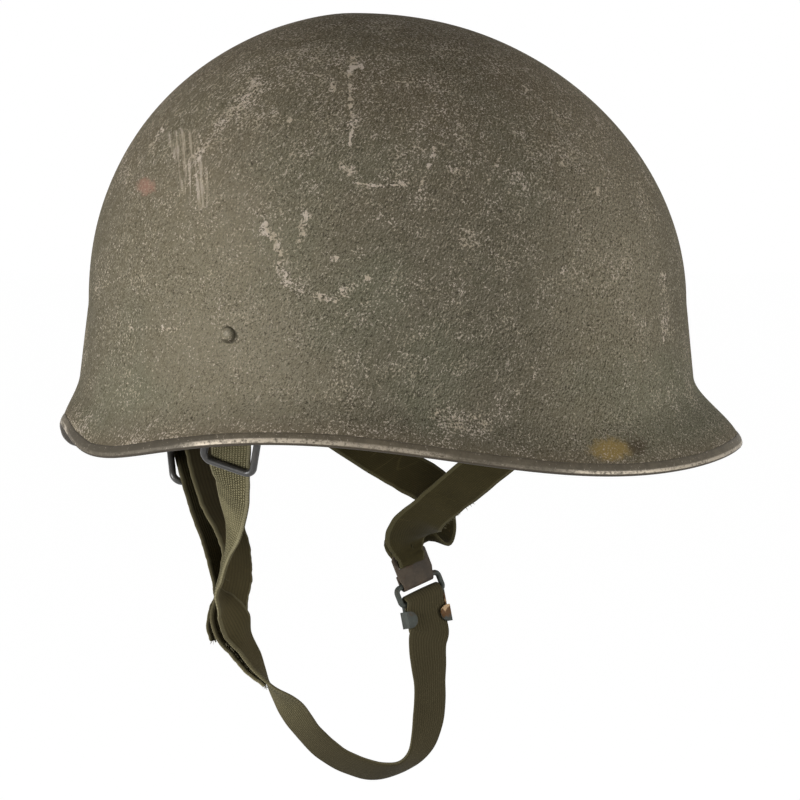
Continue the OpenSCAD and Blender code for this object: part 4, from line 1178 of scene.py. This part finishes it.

# %% [markdown]
# The coat is a dull olive brown that drifts a little from place to place: greener in patches,
# and browner at the crown, where it is also darker as painted shade. It is darker still with
# painted shade on the flank, towards the front and the rear, and along the line where the
# side turns away. Wide, soft noises mix one colour into the next.

# %% Coat of paint
OLIVE, PALE_OLIVE, GREEN = (0.141, 0.123, 0.081), (0.168, 0.148, 0.103), (0.106, 0.108, 0.071)
# The flank, end and ridge colours are painted shade.
FLANK_SHADE, END_SHADE, RIDGE_SHADE = (0.086, 0.077, 0.052), (0.094, 0.083, 0.056), (0.056, 0.049, 0.033)
# The crown colour is browner paint that is also darkened as painted shade.
CROWN_BROWN_AND_SHADE, DUST = (0.1, 0.08, 0.051), (0.2, 0.18, 0.138)
paint = m.mix(m.blotches(spot, 11.0, 3.0, 0.55, 0.3, 0.7), OLIVE, PALE_OLIVE)
# Painted shade on the flank that faces the camera, between the two lamps.
shaded = x.span(-0.07, -0.005) * x.span(0.075, 0.03) * left
paint = m.mix(shaded * 0.92, paint, FLANK_SHADE)
# Painted shade towards the front and the rear ends.
end_shade = clamp01(x.span(-0.08, -0.122) + x.span(0.088, 0.125)) * outside
paint = m.mix(end_shade * 0.6, paint, END_SHADE)
# Painted shade along the line where the side turns away.
ridge_shade = abs(y + x * 0.14).span(0.062, 0.02) * clamp01(x.span(-0.035, -0.07) + x.span(0.06, 0.09))
paint = m.mix(ridge_shade * 0.5 * outside, paint, RIDGE_SHADE)
# The crown is browner, and darker as painted shade, since little light comes from above.
paint = m.mix(high * 0.85, paint, CROWN_BROWN_AND_SHADE)
green = m.blotches(spot, 16.0, 2.0, 0.5, 0.46, 0.66, (1.3, 5.1, 2.2))
paint = m.mix(green * 0.5 * (1 - high * 0.7), paint, GREEN)
paint = m.mix(m.blotches(spot, 210.0, 3.0, 0.6, 0.35, 0.7) * 0.2, paint, DUST)
print("nodes of the paint so far:", len(m.tree.nodes))

# %% [markdown]
# Sand under the paint was smeared along the brush, so its noise is turned and stretched. The
# difference between the noise and itself a little further on says which side of a grain is
# lit, and that side is lightened and the other darkened, on top of the bump.

# %% Grit
GRIT_DARK, GRIT_LIT, GRAIN = (0.034, 0.029, 0.019), (0.33, 0.295, 0.23), (1100.0, 4.0, 0.78)
brushed = m.stretch(m.turn(spot, -0.42), (1.0, 1.0, 0.62))
grit = m.noise(brushed, *GRAIN)
slope = grit - m.noise(m.shift(brushed, (0.0004, 0, -0.0001)), *GRAIN)
rough_area = 0.35 + m.blotches(spot, 26.0, 2.0, 0.5, 0.4, 0.62, (2.3, 0.1, 4.2)) * 0.35
rough_area = rough_area + x.span(-0.07, -0.03) * 0.4
paint = m.mix(slope.span(-0.02, -0.16) * rough_area * 0.9, paint, GRIT_DARK)
paint = m.mix(slope.span(0.045, 0.17) * rough_area * 0.5, paint, GRIT_LIT)

# %% [markdown]
# Chips are a fine noise cut off at a threshold that drops where the helmet was rubbed, and a
# copy of the noise beside it paints a shadow along one edge of each chip. Flecks are smaller,
# hair scratches are a noise stretched along two directions, and one patch at the front has
# upright streaks.

# %% Chips, flecks and scratches
FRONT_PATCH = [(-89, 66), (-84, 44)]
FLAKE, FINE = (560.0, 4.0, 0.72), (1100.0, 2.0, 0.65)
clump = m.blotches(spot, 75.0, 3.0, 0.65, 0.42, 0.68, (1.2, 2.7, 0.6))
cut = 0.70 - density * 0.13 - rubbed * 0.21 - clump * 0.03
chip = m.noise(spot, *FLAKE).span(cut, cut + 0.02)
# Painted shadow along one side of each chip, read from the chip noise a little further on.
beside = m.noise(m.shift(spot, (-0.0006, 0, 0.0005)), *FLAKE)
chip_shadow = beside.span(cut, cut + 0.02) * (1 - chip)
tiny = m.noise(m.shift(spot, (3.1, 0.4, 1.7)), *FINE)
few = 0.665 - density * 0.13 - rubbed * 0.11 - clump * 0.07
fleck = tiny.span(few, few + 0.02)
hair = m.noise(m.stretch(m.shift(brushed, (0.7, 2.2, 0.1)), (1.0, 1.0, 0.2)), 1000.0, 2.0, 0.6)
hair_2 = m.noise(m.stretch(m.turn(spot, 0.9), (0.16, 1.0, 1.0)), 950.0, 2.0, 0.6)
hairs = clamp01(hair.span(0.675 - high * 0.03, 0.70 - high * 0.03)
                + hair_2.span(0.685 - high * 0.035, 0.71 - high * 0.035))
hairs = hairs * (0.45 + density) * outside
patch = to_line(m, shaky, FRONT_PATCH).span(6.0, 4.5) * left
streak = m.blotches(m.join(x, 0, z * 0.06), 850.0, 3.0, 0.65, 0.47, 0.58)
light = clamp01(chip + fleck * 0.8 + hairs * 0.75 + patch * streak * 0.6)
print("nodes of the paint so far:", len(m.tree.nodes))

# %% [markdown]
# What is left are the dark things: painted shadows beside the chips, painted shade in the
# pits, dark specks and a band of painted shade over the rim. Then the rivet gets a painted
# shadow beside it, painted shade on its far side and a painted highlight on its top, and
# three spots that the photograph shows: a red one at the front, and an ochre one beside a
# rusted hole in the paint at the rear.

# %% Pits, rivet and spots
# The pit colour is painted shade and shadow with real dark specks, the rim and corner colours are painted
# shade and shadow, and the rubbed colour is a painted highlight.
PIT_SHADE_AND_SPECK, RIM_SHADE, RIVET_SHADOW, RIVET_HIGHLIGHT = (
    (0.043, 0.036, 0.024), (0.092, 0.073, 0.049), (0.04, 0.035, 0.024), (0.26, 0.24, 0.19))
RED, OCHRE, RUST = (0.29, 0.145, 0.11), (0.235, 0.16, 0.05), (0.05, 0.036, 0.022)
RED_AT, OCHRE_AT, RUST_AT = (-103, 48), (78, -57), (90, -56)
BARE_1, BARE_2 = (0.37, 0.315, 0.235), (0.45, 0.385, 0.315)
rivet_x, rivet_z = side_point[0], side_point[2] + LIFT[2]
pits = m.blotches(spot, 620.0, 2.0, 0.6, 0.665, 0.69, (0.2, 0.9, 0.5))
specks = tiny.span(0.4, 0.35) * (1 - high * 0.6) * (rough_area + 0.2)
# Painted shadows beside the chips and painted shade in the pits, with real dark specks.
paint = m.mix(clamp01(chip_shadow * 0.6 + pits * 0.7 + specks) * outside, paint, PIT_SHADE_AND_SPECK)
# Painted shade in a band over the rim, where the skirt flares.
paint = m.mix(above.span(13, 2) * 0.65 * outside, paint, RIM_SHADE)
# Painted shadow beside the rivet, below and away from the light, and painted shade on the head's far side.
rivet_shadow = to_point(m, side, (rivet_x + 0.9, rivet_z - 0.6)).span(3.3, 2.7) * (1 - on_head)
rivet_far_shade = to_point(m, side, (rivet_x - 0.7, rivet_z + 0.5)).span(1.7, 2.9) * on_head
paint = m.mix(clamp01(rivet_shadow * 0.75 + rivet_far_shade * 0.7), paint, RIVET_SHADOW)
# Painted highlight on the rivet's top, towards the light.
rivet_highlight = to_point(m, side, (rivet_x - 0.6, rivet_z + 0.4)).span(1.8, 0.4) * on_head
paint = m.mix(rivet_highlight * 0.55, paint, RIVET_HIGHLIGHT)
blur = (m.noise(spot, 420.0, 3.0, 0.7) - 0.5) * 6
red = (to_point(m, side, RED_AT) + blur).span(4.5, 1.5) * left
paint = m.mix(red * 0.5, paint, RED)
ochre = (to_point(m, shaky, OCHRE_AT, 2.2) + blur).span(12, 5) * left
paint = m.mix(ochre * 0.75, paint, OCHRE)
rusted = (to_point(m, shaky, RUST_AT, 1.4) + blur).span(6, 3) * left
paint = m.mix(rusted * 0.7, paint, RUST)
paint = m.mix(light * 0.85, paint, m.mix(m.blotches(spot, 130.0, 2.0, 0.5, 0.4, 0.6), BARE_1, BARE_2))
finish(m, paint, 0.8 - light * 0.12, [(grit - chip * 0.25 - pits * 0.35, 0.32), (tiny, 0.1)],
       fixed={"Specular IOR Level": 0.05})
print("nodes of the paint:", len(m.tree.nodes))

# %% [markdown]
# The crimped strip is touched every time the helmet is set down. Its paint is worn through to
# brown steel in streaks that run with the rim, and a light line along the roll of the fold is
# partly worn steel and partly a painted highlight. The underside of the fold is darkened as
# painted shade.

# %% Worn rim strip
m, spot = begin(edging_paint)
x, y, _ = m.split(spot)
u, v, _ = m.split(m.node("ShaderNodeTexCoord", None, None, "UV"))
STRIP_BROWN, STRIP_DARK, GRIME = (0.1, 0.083, 0.056), (0.07, 0.057, 0.038), (0.055, 0.045, 0.03)
# The bare steel colour also carries a painted highlight along the roll, and the fold colour is painted
# shade on its underside.
STRIP_SHADE, BARE_STEEL_AND_HIGHLIGHT = (0.04, 0.033, 0.022), (0.36, 0.31, 0.24)
FOLD_SHADE, STRIP_FLECK = (0.045, 0.036, 0.026), (0.36, 0.31, 0.25)
run = m.noise(m.join(u * 60, v * 14, 0.3), 1.0, 5.0, 0.68)
fine = m.noise(m.join(u * 700, v * 30, 0.7), 1.0, 4.0, 0.7)
near = y < -0.02
bright = x.span(-0.098, -0.082) * x.span(-0.022, -0.036)
middling = x.span(-0.03, -0.022) * x.span(0.014, 0.002) * 0.55
# Painted highlight along the roll of the fold, mixed with worn paint.
line = v.span(0.165, 0.19) * v.span(0.235, 0.215) * (x.span(0.05, 0.065) + 0.25)
band = v.span(0.145, 0.175) * v.span(0.235, 0.2)
used = near * clamp01(band * (bright + middling) + line * 0.7) + (1 - near) * band * run.span(0.45, 0.6)
# worn holds the real wear and the painted highlight line together.
worn = clamp01(used * (run * 0.5 + fine * 0.9).span(0.5, 0.78) * 1.25)
# Painted shade on the underside and inner side of the fold.
fold = v.span(0.215, 0.25) * v.span(0.62, 0.5)
coat = m.mix(m.blotches(spot, 240.0, 3.0, 0.6, 0.35, 0.65), STRIP_BROWN, STRIP_DARK)
coat = m.mix(m.blotches(spot, 1100.0, 3.0, 0.7, 0.5, 0.35) * 0.45, coat, GRIME)
coat = m.mix(near * (x.span(-0.06, -0.1) * 0.55 + 0.2), coat, STRIP_SHADE)
coat = m.mix(worn * 0.8, coat, BARE_STEEL_AND_HIGHLIGHT)
coat = m.mix(fold * 0.8, coat, FOLD_SHADE)
coat = m.mix(m.blotches(spot, 900.0, 3.0, 0.7, 0.63, 0.68) * 0.6 * (1 - fold), coat, STRIP_FLECK)
finish(m, coat, 0.6 - worn * 0.15, [(fine * 0.5 + run * 0.5, 0.1), (m.noise(spot, 1500.0, 2.0, 0.6), 0.06)],
       metallic=worn * 0.3, fixed={"Specular IOR Level": 0.2})
print("nodes of the strip:", len(m.tree.nodes))

# %% [markdown]
# The webbing is woven cotton. Its outer face is a coarse weave of round nubs set like bricks,
# and its other face shows long smooth ribs with nearly no nubs. Both patterns follow the UV
# map, which counts millimetres along and across the strap. One function makes all five
# finishes from two colours of cloth, the share of nubs and a lighter selvedge colour, which is
# the selvedge's own tone and a painted highlight along the strap's edges.

# %% Webbing
WORN_BROWN = (0.034, 0.028, 0.014), (0.043, 0.035, 0.018)


def webbing(material, light, dark, nubs, selvedge_highlight, worn=0.0, rib=1.1, pick_mm=1.25, grimy=None,
            relief=0.32, creased=0.0):
    """nubs is the share of the round nubs, rib and pick_mm their size across and along.
    grimy gives two places along the strap in mm, between which it turns to dark brown.
    creased is the share of thin bent lines across the strap, where it was folded."""
    m, spot = begin(material)
    along_mm, across_mm = on_cloth(m)
    grime = along_mm.span(*grimy) if grimy else 0
    unsteady = (m.noise(spot, 420.0, 2.0, 0.5) - 0.5) * 1.5
    column = (across_mm + unsteady * 0.35) / rib
    ribs = sin(column.math("FRACT") * 180)
    row = (along_mm + unsteady) / pick_mm + column.math("FLOOR") * 0.5
    bricks = sin(row.math("FRACT") * 180)
    share = nubs * (1 - grime * 0.8)
    nub = ribs * (bricks * share + (1 - share))
    edge = abs(across_mm).span(WEB_W / 2 - 1.6, WEB_W / 2 - 1.1)
    ticks = sin((along_mm / 1.15).math("FRACT") * 180)
    height = pick(edge, ticks * 0.6 + 0.3, nub)
    fibre = m.noise(spot, 2600.0, 3.0, 0.7)
    cloth = m.mix(height.span(0.12, 0.8), dark, light)
    # The selvedge is lighter: its own tone and a painted highlight along the strap's edges.
    cloth = m.mix(edge * 0.55, cloth, selvedge_highlight)
    faded = m.blotches(spot, 55.0, 3.0, 0.6, 0.35, 0.7)
    cloth = m.mix(faded * (0.16 + worn), cloth, tuple(c * 1.55 for c in light))
    dirt = m.blotches(spot, 34.0, 3.0, 0.6, 0.5, 0.75, (0.3, 0.1, 0.6))
    cloth = m.mix(dirt * 0.3, cloth, tuple(c * 0.5 for c in dark))
    if grimy:
        cloth = m.mix(grime * 0.94, cloth, m.mix(ribs.span(0.1, 0.8), *WORN_BROWN))
    fluff = m.blotches(spot, 900.0, 4.0, 0.75, 0.66, 0.74, (0.9, 0.7, 0.2))
    cloth = m.mix(fluff * 0.25, cloth, tuple(c * 2.0 for c in light))
    bumps = [(height * (1 - grime * 0.75), relief), (fibre, 0.07)]
    if creased:
        slant = m.join(along_mm * 0.07 + across_mm * 0.02, across_mm * 0.012, 0.4)
        bent = m.noise(slant, 1.0, 2.0, 0.5)
        fold = abs(bent - 0.5).span(0.008, 0.002) * m.blotches(spot, 60.0, 1.0, 0.5, 0.46, 0.62)
        cloth = m.mix(fold * creased * 0.5, cloth, tuple(c * 1.8 for c in light))
        bumps.insert(0, (bent * creased, 2.2))
    finish(m, cloth, 0.9, bumps,
           fixed={"Specular IOR Level": 0.04, "Sheen Weight": 0.03, "Sheen Roughness": 0.5})


FIRST_TWIST, GRIMY = (float(chin.s[row * chin.steps]) for row in (15, 21))
COARSE = {"light": (0.2, 0.178, 0.1), "dark": (0.04, 0.035, 0.015), "nubs": 1,
          "selvedge_highlight": (0.17, 0.152, 0.095), "worn": 0.03}
webbing(web_coarse, **COARSE)
webbing(web_face, **COARSE, rib=1.2, grimy=(FIRST_TWIST, GRIMY))
webbing(web_smooth, (0.053, 0.043, 0.02), (0.041, 0.033, 0.016), 0.25, (0.12, 0.107, 0.062),
        rib=1.65, relief=0.06)
webbing(web_olive, (0.036, 0.029, 0.0115), (0.026, 0.0215, 0.009), 0.6, (0.085, 0.076, 0.04),
        rib=0.8, pick_mm=0.8, relief=0.06, creased=1.0)
webbing(web_dark, (0.048, 0.039, 0.017), (0.034, 0.028, 0.012), 0.3, (0.085, 0.077, 0.046), relief=0.12)
print("the chin strap turns brown from", round(FIRST_TWIST), "to", round(GRIMY), "mm along it")

# %% [markdown]
# The small metal is old military hardware. Each finish starts from its base metal or lacquer
# and adds what age did: rust in blotches, fine scratches, and lacquer rubbed off high spots.

# %% Metals
AROUND_BARE, BRASS = (0.1, 0.045, 0.012), (0.40, 0.27, 0.15)


def hardware(material, base, second, rust, metallic, roughness, blotch=90.0, rust_share=0.5, coat=0.0,
             bare=None, shine=0.45):
    """bare gives a place in mm and the colour of the metal that shows there."""
    m, spot = begin(material)
    patches = m.noise(spot, blotch, 4.0, 0.6).span(0.4, 0.62)
    fine = m.noise(spot, 900.0, 4.0, 0.7)
    scratch = m.noise(m.stretch(spot, (0.08, 1.0, 1.0)), 2200.0, 2.0, 0.6).span(0.6, 0.72)
    color = m.mix(patches, base, second)
    color = m.mix(scratch * 0.35, color, tuple(min(1.0, c * 1.9) for c in second))
    eaten = m.blotches(spot, 240.0, 5.0, 0.7, 0.56, 0.66, (0.4, 0.8, 0.1))
    color = m.mix(eaten * rust_share, color, rust)
    color = m.mix(fine.span(0.35, 0.7) * 0.3, color, tuple(c * 0.55 for c in base))
    if bare:
        middle = tuple(float(v) for v in (bare[0] + LIFT) * MM)
        gap = m.vector("DISTANCE", {0: spot, 1: middle}, "Value")
        gap = gap + (m.noise(spot, 500.0, 2.0, 0.5) - 0.5) * 0.004
        color = m.mix(gap.span(0.0058, 0.0042) * 0.85, color, AROUND_BARE)
        color = m.mix(gap.span(0.0031, 0.0025), color, bare[1])
    relief = patches * 0.3 + fine * 0.4 + eaten * 0.3
    finish(m, color, roughness + eaten * 0.25 - scratch * 0.08, [(relief, 0.06)],
           metallic=metallic - eaten * (metallic * 0.8),
           fixed={"Specular IOR Level": shine, "Coat Weight": coat, "Coat Roughness": 0.25})


hardware(plate_metal, (0.076, 0.06, 0.044), (0.05, 0.042, 0.034), (0.075, 0.04, 0.026), 0.0, 0.6,
         shine=0.05)
hardware(buckle_metal, (0.058, 0.064, 0.056), (0.038, 0.041, 0.035), (0.07, 0.034, 0.014), 0.0, 0.5,
         blotch=140.0, shine=0.08, bare=(at_ear(-2.5, -4.2) + ear_u * 8, BRASS))
hardware(ring_metal, (0.03, 0.029, 0.027), (0.045, 0.042, 0.038), (0.06, 0.045, 0.035), 0.0, 0.36,
         rust_share=0.2, coat=0.15)
hardware(liner_metal, (0.1, 0.1, 0.07), (0.13, 0.125, 0.09), (0.09, 0.045, 0.02), 0.1, 0.55,
         blotch=50.0, rust_share=0.7)
hardware(bare_metal, (0.3, 0.29, 0.27), (0.38, 0.37, 0.35), (0.12, 0.06, 0.03), 0.9, 0.42)
hardware(brass_metal, (0.34, 0.24, 0.1), (0.25, 0.19, 0.09), (0.1, 0.09, 0.05), 0.9, 0.42)

# %% [markdown]
# Leather is a field of small rounded cells with darker creases between them, polished and
# stained where it met the head. Felt is a mat of fibres, so its noise is stretched in two
# directions, and cotton cord and thread are a lighter, finer version of the webbing.

# %% Leather, felt and cord
m, spot = begin(leather)
pebble = m.cells(spot, 520.0, feature="SMOOTH_F1")
bent = m.stretch(m.noise(spot, 90.0, 2.0, 0.5, "Color"), (0.004, 0.004, 0.004))
crease = m.cells(m.shift(spot, bent), 130.0, "Distance", "DISTANCE_TO_EDGE").span(0.0, 0.06)
low = m.split(spot)[2].span(-0.002, -0.014)
hide = m.mix(m.blotches(spot, 24.0, 3.0, 0.6, 0.38, 0.66), (0.27, 0.135, 0.06), (0.17, 0.082, 0.036))
hide = m.mix(low * 0.55, hide, (0.085, 0.044, 0.024))
hide = m.mix((1 - crease) * 0.35, hide, (0.09, 0.045, 0.02))
hide = m.mix(m.blotches(spot, 700.0, 4.0, 0.7, 0.58, 0.7) * 0.3, hide, (0.36, 0.21, 0.11))
grain = m.noise(spot, 1800.0, 2.0, 0.6)
finish(m, hide, 0.55 - low * 0.15, [(crease, 0.14), (pebble, 0.12), (grain, 0.03)],
       fixed={"Specular IOR Level": 0.35})

m, spot = begin(felt)
mat_1 = m.noise(m.stretch(spot, (1.0, 0.2, 1.0)), 1500.0, 4.0, 0.7)
mat_2 = m.noise(m.stretch(spot, (0.2, 1.0, 1.0)), 1500.0, 4.0, 0.7)
fibres = mat_1 * 0.5 + mat_2 * 0.5
wool = m.mix(fibres.span(0.35, 0.65), (0.23, 0.2, 0.15), (0.42, 0.38, 0.3))
wool = m.mix(m.blotches(spot, 60.0, 3.0, 0.6, 0.45, 0.7) * 0.5, wool, (0.2, 0.15, 0.09))
finish(m, wool, 0.95, [(fibres, 0.35)], fixed={"Specular IOR Level": 0.1, "Sheen Weight": 0.3})


def cord(material, light, dark):
    m, spot = begin(material)
    fibre = m.noise(spot, 2300.0, 4.0, 0.7)
    color = m.mix(fibre.span(0.35, 0.65), dark, light)
    color = m.mix(m.blotches(spot, 120.0, 3.0, 0.6, 0.5, 0.7) * 0.4, color, tuple(c * 0.7 for c in dark))
    finish(m, color, 0.9, [(fibre, 0.12)], fixed={"Specular IOR Level": 0.12, "Sheen Weight": 0.15})


cord(lace_cotton, (0.4, 0.34, 0.23), (0.24, 0.19, 0.115))
cord(thread, (0.22, 0.2, 0.125), (0.11, 0.096, 0.055))
cord(frayed_cotton, (0.12, 0.105, 0.055), (0.06, 0.052, 0.026))

# %% [markdown]
# The photograph was taken in a light tent. Two broad lamps stand far round to the left and the
# right, the left one stronger, so the side towards the camera falls off into shade between
# them. Little light comes from above. The backdrop is white for the camera and for mirror
# rays, and dimmer as a light, so the white costs the object none of its depth.

# %% Light, floor and backdrop
AMBIENT = 0.13


def backdrop_rays(m):
    """1 for camera, mirror and transmission rays, and 0 for the rays that carry light."""
    rays = m.node("ShaderNodeLightPath").out.node.outputs
    seen = [Socket(m, rays[name]) for name in ("Is Camera Ray", "Is Glossy Ray", "Is Transmission Ray")]
    return clamp01(seen[0] + seen[1] + seen[2])


world = bpy.data.worlds.new("studio")
scene.world = world
world.use_nodes = True
world.node_tree.nodes.clear()
m = Maker(world.node_tree)
backdrop = m.node("ShaderNodeBackground", None,
                  {"Color": (1, 1, 1, 1), "Strength": pick(backdrop_rays(m), 1.0, AMBIENT)})
m.tree.links.new(backdrop.out, m.tree.nodes.new("ShaderNodeOutputWorld").inputs[0])


def lamp(name, at, aim, size, power):
    data = bpy.data.lights.new(name, "AREA")
    data.shape, data.size, data.size_y, data.energy = "RECTANGLE", size[0], size[1], power
    obj = bpy.data.objects.new(name, data)
    obj.location = at
    obj.rotation_euler = (Vector(aim) - Vector(at)).to_track_quat("-Z", "Y").to_euler()
    scene.collection.objects.link(obj)


lamp("left_tent", (-1.84, -0.86, 0.05), (0, 0, 0), (0.9, 1.1), 50)
lamp("right_tent", (1.76, -1.06, 0.05), (0, 0, 0), (0.8, 1.1), 34)
lamp("rear_tent", (0.2, 2.0, -0.1), (0, 0, 0), (1.2, 1.0), 4)

FLOOR_Z, FLOOR_HALF, FLOOR_GLOW, GLOW_POWER, PAPER = -0.5, 60.0, 0.86, 1.14, (0.85, 0.85, 0.85, 1)
corners = [(a * FLOOR_HALF, b * FLOOR_HALF, FLOOR_Z) for a, b in ((-1, -1), (1, -1), (1, 1), (-1, 1))]
floor = place("floor", bpy.data.meshes.new("floor"))
floor.data.from_pydata(corners, [], [(0, 1, 2, 3)])
floor_paper = bpy.data.materials.new("floor_paper")
m, _ = begin(floor_paper)
paper = m.node("ShaderNodeBsdfDiffuse", None, {"Color": PAPER})
glow = m.node("ShaderNodeEmission", None, {"Color": (1, 1, 1, 1), "Strength": GLOW_POWER})
both = m.node("ShaderNodeMixShader", None, {0: backdrop_rays(m) * FLOOR_GLOW, 1: paper, 2: glow})
m.tree.links.new(both.out, m.tree.nodes.new("ShaderNodeOutputMaterial").inputs[0])
floor.data.materials.append(floor_paper)

scene.view_settings.view_transform = "Standard"
